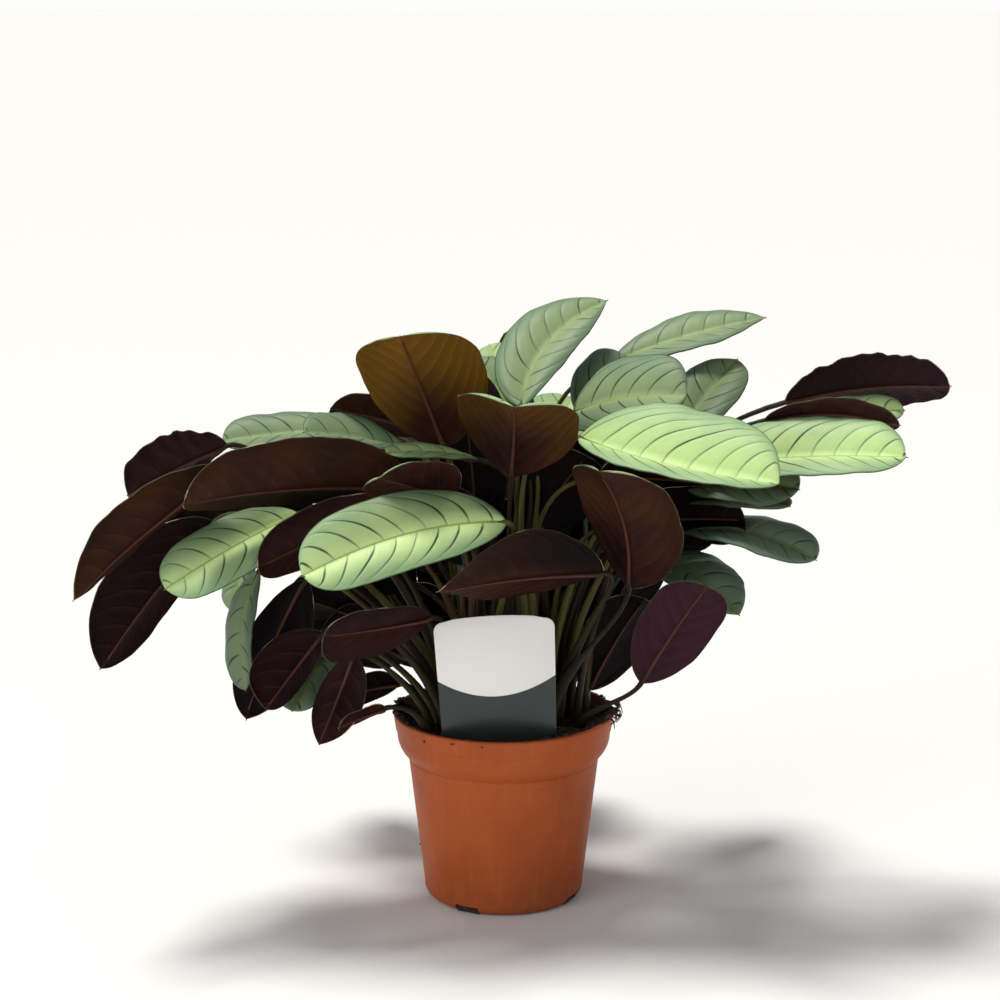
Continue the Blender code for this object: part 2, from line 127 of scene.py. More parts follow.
class Tree:
    """The node tree of one material, with its Principled shader."""

    def __init__(self, name: str) -> None:
        """Makes the material.

        Args:
            name: the material's name.
        """
        self.material = bpy.data.materials.new(name)
        self.material.use_nodes = True
        self.nodes = self.material.node_tree.nodes
        self.links = self.material.node_tree.links
        self.shader = self.nodes["Principled BSDF"]

    def join(self, target: bpy.types.NodeSocket, value: Any) -> None:
        """Links or sets one input socket.

        Args:
            target: the input.
            value: a Socket, a number, or a colour or vector as a tuple.
        """
        if isinstance(value, Socket):
            self.links.new(value.link, target)
        elif isinstance(value, tuple) and len(value) == 3 and target.type == "RGBA":
            target.default_value = (*value, 1.0)
        else:
            target.default_value = value

    def node(
        self, kind: str, settings: dict[str, Any], inputs: dict[Any, Any], output: Any = 0
    ) -> Socket:
        """Adds any node.

        Args:
            kind: the node's type.
            settings: its properties, set first.
            inputs: values or links of its sockets, by name or number.
            output: the output wanted, by name or number.

        Returns:
            The output.
        """
        made = self.nodes.new(kind)
        for key, value in settings.items():
            setattr(made, key, value)
        for key, value in inputs.items():
            self.join(made.inputs[key], value)
        return Socket(self, made.outputs[output])

    def maths(self, operation: str, *values: Any) -> Socket:
        """A Math node on one to three values."""
        return self.node("ShaderNodeMath", {"operation": operation}, dict(enumerate(values)))

    def paint(self, ground: Any, *coats: tuple[Any, Any]) -> Any:
        """Lays colours over a ground, one after the other.

        Args:
            ground: the first colour, a tuple or a Socket.
            coats: pairs of a share from 0 to 1 and the colour that it lays on.

        Returns:
            The mixed colour.
        """
        settings = {"data_type": "RGBA", "clamp_factor": True}
        for share, colour in coats:
            ground = self.node("ShaderNodeMix", settings, {0: share, 6: ground, 7: colour}, 2)
        return ground

    def place(self) -> Socket:
        """Object coordinates, in metres."""
        return self.node("ShaderNodeTexCoord", {}, {}, "Object")

    def stretched(self, scale: Triple, turn: Triple = (0.0, 0.0, 0.0)) -> Socket:
        """Object coordinates, scaled along each axis and then turned."""
        inputs = {"Vector": self.place(), "Rotation": turn, "Scale": scale}
        return self.node("ShaderNodeMapping", {}, inputs)

    def noise(
        self, scale: float, detail: float = 2.0, roughness: float = 0.5, at: Socket | None = None
    ) -> Socket:
        """Noise from 0 to 1, on Object coordinates unless another place is given."""
        inputs = {"Vector": at or self.place(), "Scale": scale, "Detail": detail, "Roughness": roughness}
        return self.node("ShaderNodeTexNoise", {}, inputs)

    def spots(self, scale: float) -> Socket:
        """The distance to the nearest of many scattered points."""
        return self.node("ShaderNodeTexVoronoi", {}, {"Vector": self.place(), "Scale": scale}, "Distance")

    def parts(self, vector: Socket) -> tuple[Socket, Socket, Socket]:
        """The three numbers of a vector."""
        made = self.nodes.new("ShaderNodeSeparateXYZ")
        self.links.new(vector.link, made.inputs[0])
        return tuple(Socket(self, output) for output in made.outputs)

    def attribute(self, name: str) -> tuple[Socket, Socket, Socket]:
        """The three numbers of a mesh attribute."""
        return self.parts(self.node("ShaderNodeAttribute", {"attribute_name": name}, {}, "Vector"))

    def bump(self, height: Socket, strength: float, distance: float) -> Socket:
        """A normal bumped by a relief of about 0 to 1, with its depth in metres."""
        inputs = {"Height": height, "Strength": strength, "Distance": distance}
        return self.node("ShaderNodeBump", {}, inputs)

    def finish(
        self, colour: Any, roughness: Any, normal: Socket | None = None, **fixed: float
    ) -> bpy.types.Material:
        """Joins the shader's inputs.

        Args:
            colour: the base colour.
            roughness: the roughness.
            normal: the bumped normal.
            fixed: numbers for other sockets, with _ for a space in the name.

        Returns:
            The finished material.
        """
        self.join(self.shader.inputs["Base Color"], colour)
        self.join(self.shader.inputs["Roughness"], roughness)
        if normal is not None:
            self.join(self.shader.inputs["Normal"], normal)
        for name, value in fixed.items():
            self.shader.inputs[name.replace("_", " ")].default_value = value
        return self.material


# Finishes


@dataclass(frozen=True)
class Veins:
    """How the side veins lie on a blade, in centimetres along and across it."""

    spacing: float = 1.22
    lean: float = 0.42
    curve: float = 0.30
    turn: float = 0.7
    stagger: float = 0.45
    wander: float = 0.9

    def phase(self, tree: Tree, along: Socket, across: Socket, share: Socket) -> Socket:
        """A number that rises by 1 from one side vein to the next.

        Args:
            tree: the material's tree.
            along: the distance from the blade's base.
            across: the distance from the midrib, negative on the left.
            share: how far out it is, from 0 at the midrib to 1 at the margin.

        Returns:
            The phase, shifted on the right side so that the veins alternate.
        """
        out = abs(across)
        ahead = out * self.lean + out * out * self.curve + share**7.0 * self.turn
        wander = tree.noise(24.0, 1.0) * self.wander
        return (along - ahead) / self.spacing + across.over(0.0) * self.stagger + wander

    def chance(self, phase: Socket, seed: Socket) -> Socket:
        """A number from 0 to 1 that is the same all along one vein.

        Args:
            phase: the phase, whole at the middle between two veins.
            seed: the leaf's own number.

        Returns:
            The number.
        """
        return ((phase.floor() * 12.99 + seed * 78.2).sine() * 437.5).fraction()


@dataclass(frozen=True)
class UpperSide:
    """The green upper side: pale between dark side veins, with a dark thin margin, and painted shade from
    its tone: a cool blue-green tint and a darkening to near black.
    """

    sunny: Colour = (0.56, 0.74, 0.31)
    shaded: Colour = (0.235, 0.38, 0.20)
    shade_tint: Colour = (0.090, 0.140, 0.118)
    vein: Colour = (0.007, 0.028, 0.009)
    rib: Colour = (0.27, 0.43, 0.08)
    shade_black: Colour = (0.006, 0.010, 0.007)
    veins: Veins = Veins()

    def build(self) -> bpy.types.Material:
        """Makes the material.

        Returns:
            The material.
        """
        tree = Tree("leaf_upper")
        along, across, margin = tree.attribute("blade")
        shade_tint, seed, shade_amount = tree.attribute("tone")
        out = abs(across)
        share = out / (out + margin + 0.001)
        phase = self.veins.phase(tree, along, across, share)
        off_vein = abs(phase.fraction() - 0.5)
        gap = off_vein * self.veins.spacing
        chance = self.veins.chance(phase, seed)
        body = share.smooth(0.0, 0.35) * share.smooth(1.05, 0.6)
        width = 0.023 + body * (0.012 + 0.026 * chance)
        vein = (gap / width).smooth(1.6, 0.8) * (0.55 + 0.45 * chance) * (0.55 + 0.45 * body)
        minor = abs((phase * 2.0).fraction() - 0.5).smooth(0.035, 0.012) * share.smooth(0.5, 0.05) * 0.22
        blush = tree.noise(34.0, 4.0, 0.6)
        patch = tree.noise(13.0, 2.0, 0.5)
        grain = (phase * 69.0).sine() * 0.5 + 0.5
        rib = (out / (0.058 - along * 0.003)).smooth(1.5, 0.8)
        colour = tree.paint(
            self.sunny,
            ((share + blush * 0.7).smooth(0.45, 1.35) * 0.85, self.shaded),
            (patch.smooth(0.54, 0.70) * share * 0.45, self.shaded),
            # Painted shade: a cool blue-green tint, as far as the leaf's tone asks.
            (shade_tint, self.shade_tint),
            (grain * 0.08 + gap.smooth(0.20, 0.03) * 0.16 + minor, self.shaded),
            (vein * 0.93, self.vein),
            (rib * 0.85, self.rib),
            (rib * along.smooth(1.6, 0.2) * 0.6, self.vein),
            (margin.smooth(0.07, 0.03) * 0.75, self.vein),
            # Painted shade: darkening to near black, from the leaf's tone and its painted shadow.
            (shade_amount, self.shade_black),
        )
        quilt = off_vein.smooth(0.0, 0.30) + grain * 0.05 + blush * 0.25 + tree.noise(900.0, 2.0) * 0.08
        normal = tree.bump(quilt * margin.smooth(0.0, 0.3), 0.35, 0.0006)
        rough = 0.42 + 0.16 * tree.noise(70.0, 2.0)
        return tree.finish(colour, rough, normal, Specular_IOR_Level=0.24)


@dataclass(frozen=True)
class UnderSide:
    """The maroon underside, with fine parallel ribs and a pinkish bloom, painted shade in its furrows, a
    painted amber backlight glow towards its tip and margin, and painted shade to near black from its tone.
    """

    maroon: Colour = (0.0130, 0.0035, 0.0050)
    brown: Colour = (0.0400, 0.0110, 0.0060)
    violet: Colour = (0.0400, 0.0130, 0.0230)
    backlight_glow: Colour = (0.160, 0.072, 0.008)
    rib: Colour = (0.085, 0.024, 0.016)
    furrow_shade: Colour = (0.008, 0.002, 0.003)
    shade_black: Colour = (0.002, 0.001, 0.0014)
    veins: Veins = Veins(spacing=1.2)

    def build(self) -> bpy.types.Material:
        """Makes the material.

        Returns:
            The material.
        """
        tree = Tree("leaf_under")
        along, across, margin = tree.attribute("blade")
        violet, backlight_glow, shade_amount = tree.attribute("under_tone")
        out = abs(across)
        share = out / (out + margin + 0.001)
        phase = self.veins.phase(tree, along, across, share)
        off_vein = abs(phase.fraction() - 0.5)
        cloud = tree.noise(24.0, 3.0, 0.6)
        mottle = tree.noise(75.0, 3.0, 0.65)
        far = (along * 0.16 + out * 0.22 + cloud * 0.4).smooth(0.55, 1.5)
        fold = (phase * math.tau).sine() * 0.5 + 0.5
        fine = (phase * 50.0 + mottle * 6.0).sine() * 0.5 + 0.5
        colour = tree.paint(
            self.maroon,
            (cloud.smooth(0.36, 0.62), self.brown),
            (mottle.smooth(0.56, 0.70) * 0.45, self.violet),
            (violet * (0.6 + 0.8 * cloud), self.violet),
            # Painted backlight glow: amber towards the tip and the margin (far), as far as the tone asks.
            (backlight_glow * far, self.backlight_glow),
            # Painted shade in the furrows between the fine ribs.
            (fold * 0.30 * cloud + fine * 0.08, self.furrow_shade),
            ((off_vein * self.veins.spacing).smooth(0.06, 0.02) * 0.16, self.rib),
            (out.smooth(0.09, 0.03) * 0.7, self.rib),
            # Painted shade: darkening to near black, from the leaf's tone and its painted shadow.
            (shade_amount, self.shade_black),
        )
        relief = fold * 0.45 + off_vein.smooth(0.16, 0.0) * 0.5 + fine * 0.06 + mottle * 0.35
        normal = tree.bump(relief * margin.smooth(0.0, 0.3), 0.6, 0.0011)
        rough = 0.50 + 0.18 * cloud
        return tree.finish(colour, rough, normal, Specular_IOR_Level=0.10)


@dataclass(frozen=True)
class Margin:
    """The blade's thin edge, dry and cream-coloured where it is worn."""

    fresh: Colour = (0.055, 0.045, 0.018)
    dry: Colour = (0.50, 0.42, 0.24)

    def build(self) -> bpy.types.Material:
        """Makes the material.

        Returns:
            The material.
        """
        tree = Tree("leaf_margin")
        worn = tree.noise(45.0, 3.0).smooth(0.55, 0.66)
        return tree.finish(tree.paint(self.fresh, (worn, self.dry)), 0.6)


@dataclass(frozen=True)
class StalkSkin:
    """A stalk: olive with long streaks, browner at its sheath and pinker under the blade, and painted shade
    to near black on many stalks, chosen per leaf.
    """

    olive: Colour = (0.088, 0.096, 0.020)
    brown: Colour = (0.072, 0.032, 0.019)
    pink: Colour = (0.085, 0.028, 0.020)
    straw: Colour = (0.12, 0.11, 0.035)
    shade_black: Colour = (0.008, 0.007, 0.004)

    def build(self) -> bpy.types.Material:
        """Makes the material.

        Returns:
            The material.
        """
        tree = Tree("leaf_stalk")
        height, side, rib = tree.attribute("stem")
        _, seed, _ = tree.attribute("tone")
        streak = tree.noise(90.0, 3.0, 0.6, tree.stretched((1.0, 1.0, 0.08)))
        colour = tree.paint(
            self.olive,
            (streak.smooth(0.35, 0.7), self.brown),
            (height.smooth(1.2, 0.0) * 0.7, self.brown),
            (side.smooth(0.75, 1.0) * 0.5, self.straw),
            ((seed * 5.3).fraction().smooth(0.35, 0.8) * 0.6, self.brown),
            # Painted shade: many stalks darken to near black, chosen by each leaf's number.
            ((seed * 3.7).fraction().smooth(0.1, 0.6) * 0.85, self.shade_black),
            (rib, self.pink),
        )
        normal = tree.bump(streak, 0.5, 0.0006)
        return tree.finish(colour, 0.42 + 0.2 * streak, normal, Specular_IOR_Level=0.18)


@dataclass(frozen=True)
class PotPlastic:
    """Satin terracotta-coloured plastic, with scuffs, dust and specks of soil."""

    clay: Colour = (0.400, 0.086, 0.021)
    deep: Colour = (0.315, 0.064, 0.015)
    dust: Colour = (0.480, 0.190, 0.095)
    mud: Colour = (0.16, 0.07, 0.04)
    speck: Colour = (0.05, 0.03, 0.02)

    def build(self) -> bpy.types.Material:
        """Makes the material.

        Returns:
            The material.
        """
        tree = Tree("pot_plastic")
        _, _, height = tree.parts(tree.place())
        cloud = tree.noise(16.0, 4.0, 0.6)
        lines = tree.noise(260.0, 2.0, 0.5, tree.stretched((1.0, 1.0, 0.03)))
        haze = tree.noise(7.0, 3.0, 0.7).smooth(0.52, 0.85) * 0.16
        foot = height.smooth(0.022, 0.0) * tree.noise(120.0, 3.0).smooth(0.42, 0.68)
        specks = tree.spots(240.0).smooth(0.10, 0.05) * tree.noise(28.0, 2.0).smooth(0.58, 0.66)
        scuffs = tree.noise(420.0, 2.0, 0.6, tree.stretched((0.25, 0.25, 1.0), (0.3, 0.5, 0.0)))
        colour = tree.paint(
            self.clay,
            (cloud.smooth(0.35, 0.7), self.deep),
            (lines.smooth(0.45, 0.75) * 0.10, self.dust),
            (haze, self.dust),
            (foot * 0.45, self.mud),
            (specks * 0.8, self.speck),
            (scuffs.smooth(0.66, 0.76) * 0.22, self.dust),
        )
        normal = tree.bump(lines * 0.5 + scuffs * 0.3 + tree.noise(1400.0, 1.0) * 0.4, 0.30, 0.0004)
        rough = 0.42 + 0.12 * cloud + 0.10 * haze
        return tree.finish(colour, rough, normal, Specular_IOR_Level=0.13)


@dataclass(frozen=True)
class Earth:
    """Dark potting mix: peat with paler fibres."""

    peat: Colour = (0.016, 0.011, 0.008)
    fibre: Colour = (0.075, 0.045, 0.025)
    straw: Colour = (0.13, 0.085, 0.05)

    def build(self, name: str) -> bpy.types.Material:
        """Makes the material under a name.

        Args:
            name: the material's name.

        Returns:
            The material.
        """
        tree = Tree(name)
        grain = tree.noise(420.0, 4.0, 0.65)
        fibres = tree.noise(300.0, 2.0, 0.5, tree.stretched((1.0, 0.2, 0.6), (0.4, 0.2, 0.9)))
        fine = (grain.smooth(0.4, 0.75) * 0.7, self.fibre)
        colour = tree.paint(self.peat, fine, (fibres.smooth(0.62, 0.72) * 0.6, self.straw))
        return tree.finish(colour, 0.85, tree.bump(grain, 0.9, 0.0015))


@dataclass(frozen=True)
class RootSkin:
    """Dry roots, pale brown."""

    pale: Colour = (0.12, 0.07, 0.04)
    dark: Colour = (0.025, 0.014, 0.009)

    def build(self) -> bpy.types.Material:
        """Makes the material.

        Returns:
            The material.
        """
        tree = Tree("root_skin")
        streak = tree.noise(500.0, 3.0)
        colour = tree.paint(self.dark, (streak, self.pale))
        return tree.finish(colour, 0.7, tree.bump(streak, 0.5, 0.0004))


@dataclass(frozen=True)
class TagPrint:
    """The tag's satin card: white above a sagging edge, slate below it."""

    white: Colour = (0.86, 0.86, 0.83)
    grey: Colour = (0.68, 0.68, 0.67)
    slate: Colour = (0.013, 0.021, 0.021)
    worn_slate: Colour = (0.035, 0.045, 0.046)
    grain: Colour = (0.40, 0.38, 0.36)
    smear: Colour = (0.35, 0.30, 0.24)
    soil: Colour = (0.03, 0.02, 0.015)
    sag_height: float = 0.1238
    sag_middle: float = -0.003
    sag_depth: float = 10.5
    tilt: float = 0.075

    def build(self) -> bpy.types.Material:
        """Makes the material.

        Returns:
            The material.
        """
        tree = Tree("tag_print")
        across, _, height = tree.parts(tree.place())
        reach = across - self.sag_middle
        edge = self.sag_height + reach * self.tilt + reach * reach * self.sag_depth
        below = (edge - height).smooth(-0.00015, 0.00015)
        fade = (height * 22.0 - 2.9 + across * 9.0 + tree.noise(25.0, 2.0) * 0.5).smooth(0.0, 1.0)
        dots = tree.noise(2400.0, 1.0).smooth(0.66, 0.8)
        smudge = tree.noise(60.0, 4.0).smooth(0.6, 0.75)
        slate = tree.paint(self.slate, (tree.noise(35.0, 3.0) * 0.4, self.worn_slate))
        soiled = height.smooth(0.108, 0.098) * tree.noise(500.0, 3.0).smooth(0.45, 0.6)
        colour = tree.paint(
            self.white,
            (fade * 0.45, self.grey),
            (dots * 0.12, self.grain),
            (smudge * 0.10, self.smear),
            (below, slate),
            (soiled * 0.8, self.soil),
        )
        normal = tree.bump(tree.noise(180.0, 2.0), 0.08, 0.0005)
        return tree.finish(colour, 0.30 + 0.15 * smudge, normal, Specular_IOR_Level=0.5)


@dataclass(frozen=True)
class FloorPaint:
    """The plain pale floor."""

    colour: Colour = (0.78, 0.78, 0.78)

    def build(self) -> bpy.types.Material:
        """Makes the material.

        Returns:
            The material.
        """
        tree = Tree("pale_floor")
        return tree.finish(self.colour, 0.9, None, Specular_IOR_Level=0.1)


# Meshes


def new_object(
    name: str,
    bm: bmesh.types.BMesh,
    skins: Sequence[bpy.types.Material],
    slot: str = "",
    nodes: Sequence[str] = (),
) -> bpy.types.Object:
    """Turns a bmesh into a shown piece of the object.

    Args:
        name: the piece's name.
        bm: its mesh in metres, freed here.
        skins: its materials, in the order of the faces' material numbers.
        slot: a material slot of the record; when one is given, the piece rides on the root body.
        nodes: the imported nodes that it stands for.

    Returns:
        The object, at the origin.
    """
    mesh = bpy.data.meshes.new(name)
    bm.to_mesh(mesh)
    bm.free()
    for skin in skins:
        mesh.materials.append(skin)
    mesh.shade_smooth()
    made = bpy.data.objects.new(name, mesh)
    bpy.context.scene.collection.objects.link(made)
    if slot:
        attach(made, "root")
    if nodes:
        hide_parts(*nodes)
    log.info("%s: %d faces", name, len(mesh.polygons))
    return made


def move(bm: bmesh.types.BMesh, way: Sequence[float]) -> None:
    """Moves a bmesh by millimetres along X, Y and Z."""
    bmesh.ops.translate(bm, vec=Vector(way) * MM, verts=bm.verts)


def turn(bm: bmesh.types.BMesh, angle: float, axis: str = "Z") -> None:
    """Turns a bmesh by radians about one of the frame's axes."""
    matrix = Matrix.Rotation(angle, 3, axis)
    bmesh.ops.rotate(bm, cent=(0.0, 0.0, 0.0), matrix=matrix, verts=bm.verts)


def block(size: Sequence[float]) -> bmesh.types.BMesh:
    """A block about the origin.

    Args:
        size: its sides in millimetres.

    Returns:
        The bmesh in metres.
    """
    bm = bmesh.new()
    bmesh.ops.create_cube(bm, size=MM)
    bmesh.ops.scale(bm, vec=size, verts=bm.verts)
    return bm


def bevel(
    bm: bmesh.types.BMesh, geom: Sequence[Any], size: float, segments: int, affect: str = "EDGES"
) -> None:
    """Rounds edges or corners of a bmesh.

    Args:
        bm: the bmesh.
        geom: the edges or corners.
        size: the rounding in millimetres.
        segments: its steps.
        affect: EDGES or VERTICES.
    """
    bmesh.ops.bevel(
        bm,
        geom=geom,
        offset=size * MM,
        offset_type="OFFSET",
        segments=segments,
        profile=0.5,
        material=-1,
        affect=affect,
    )


def lathe(
    profile: Sequence[tuple[float, float]], rounds: dict[int, float], steps: int
) -> bmesh.types.BMesh:
    """Spins a profile about Z.

    Args:
        profile: radius and height of each corner in millimetres, from axis to axis.
        rounds: the rounding of corners by number, in millimetres.
        steps: the number of steps round the axis.

    Returns:
        A closed bmesh in metres.
    """
    bm = bmesh.new()
    corners = [bm.verts.new((radius * MM, 0.0, height * MM)) for radius, height in profile]
    for pair in zip(corners, corners[1:]):
        bm.edges.new(pair)
    for index, size in rounds.items():
        segments = COARSE_STEPS if size < WIDE_ROUNDING else FINE_STEPS
        bevel(bm, [corners[index]], size, segments, "VERTICES")
    bmesh.ops.spin(
        bm,
        geom=bm.verts[:] + bm.edges[:],
        cent=(0.0, 0.0, 0.0),
        axis=(0.0, 0.0, 1.0),
        angle=math.tau,
        steps=steps,
        use_merge=True,
    )
    bmesh.ops.remove_doubles(bm, verts=bm.verts, dist=WELD)
    bmesh.ops.recalc_face_normals(bm, faces=bm.faces)
    return bm


def tube(rings: int, sides: int, place: Callable[[float, float], Vector]) -> bmesh.types.BMesh:
    """A closed tube wrapped from a grid.

    Args:
        rings: the number of steps along it.
        sides: the number of steps round it.
        place: gives the point for the shares along (0 to 1) and round (0 to 1).

    Returns:
        The bmesh, with its seam merged and its ends filled.
    """
    bm = bmesh.new()
    bmesh.ops.create_grid(bm, x_segments=rings, y_segments=sides, size=0.5)
    for vert in bm.verts:
        vert.co = place(vert.co.x + 0.5, vert.co.y + 0.5)
    bmesh.ops.remove_doubles(bm, verts=bm.verts, dist=WELD)
    bmesh.ops.holes_fill(bm, edges=[edge for edge in bm.edges if edge.is_boundary], sides=0)
    bmesh.ops.recalc_face_normals(bm, faces=bm.faces)
    return bm


def wobble(place: Vector) -> Vector:
    """Smooth noise for each of the three axes, the same in every run."""
    return Vector([noise.noise(place + Vector((0.0, 0.0, apart))) for apart in (0.0, 17.3, 41.9)])


def merged(parts: Iterable[bmesh.types.BMesh]) -> bmesh.types.BMesh:
    """Joins bmeshes into one and frees them.

    Args:
        parts: the bmeshes.

    Returns:
        The whole.
    """
    whole = bmesh.new()
    for part in parts:
        scratch = bpy.data.meshes.new("scratch")
        part.to_mesh(scratch)
        part.free()
        whole.from_mesh(scratch)
        bpy.data.meshes.remove(scratch)
    return whole


# Leaves


class Tone(Enum):
    """A leaf's tones: its upper side's painted shade, as a cool tint and a darkening, and its underside's
    violet, painted amber backlight glow and painted shade.
    """

    SUNNY = (0.0, 0.0, 0.0, 0.0, 0.0)
    PALE = (0.25, 0.0, 0.0, 0.0, 0.0)
    SAGE = (0.50, 0.22, 0.0, 0.0, 0.0)
    GREY = (0.58, 0.24, 0.1, 0.0, 0.1)
    TEAL = (0.85, 0.0, 0.2, 0.0, 0.2)
    OLIVE = (0.42, 0.50, 0.0, 0.3, 0.0)
    BROWN = (0.10, 0.0, 0.0, 0.10, 0.0)
    BACKLIT = (0.0, 0.0, 0.0, 1.0, 0.0)
    GLINT = (0.0, 0.0, 0.0, 0.45, 0.0)
    MAROON = (0.20, 0.0, 0.16, 0.0, 0.24)
    PLUM = (0.30, 0.0, 0.8, 0.0, 0.45)
    VIOLET = (0.30, 0.0, 0.9, 0.0, 0.0)
    DUSK = (0.66, 0.46, 0.2, 0.0, 0.3)
    DARK = (0.50, 0.3, 0.2, 0.0, 0.6)
    BLACK = (0.60, 0.8, 0.2, 0.0, 0.9)


@dataclass(frozen=True)
class Leaf:
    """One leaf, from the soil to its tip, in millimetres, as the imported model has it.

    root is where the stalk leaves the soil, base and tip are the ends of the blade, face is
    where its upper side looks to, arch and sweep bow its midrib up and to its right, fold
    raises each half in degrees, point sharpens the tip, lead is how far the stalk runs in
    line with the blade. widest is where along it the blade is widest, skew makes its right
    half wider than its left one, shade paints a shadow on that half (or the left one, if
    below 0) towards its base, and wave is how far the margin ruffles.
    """

    name: str
    root: tuple[float, float]
    base: tuple[float, float, float]
    tip: tuple[float, float, float]
    width: float
    face: tuple[float, float, float]
    arch: float = 0.0
    sweep: float = 0.0
    fold: float = 8.0
    point: float = 0.0
    lead: float = 0.35
    tone: Tone = Tone.SUNNY
    wave: float = 1.0
    skew: float = 0.0
    widest: float = 0.52
    shade: float = 0.0


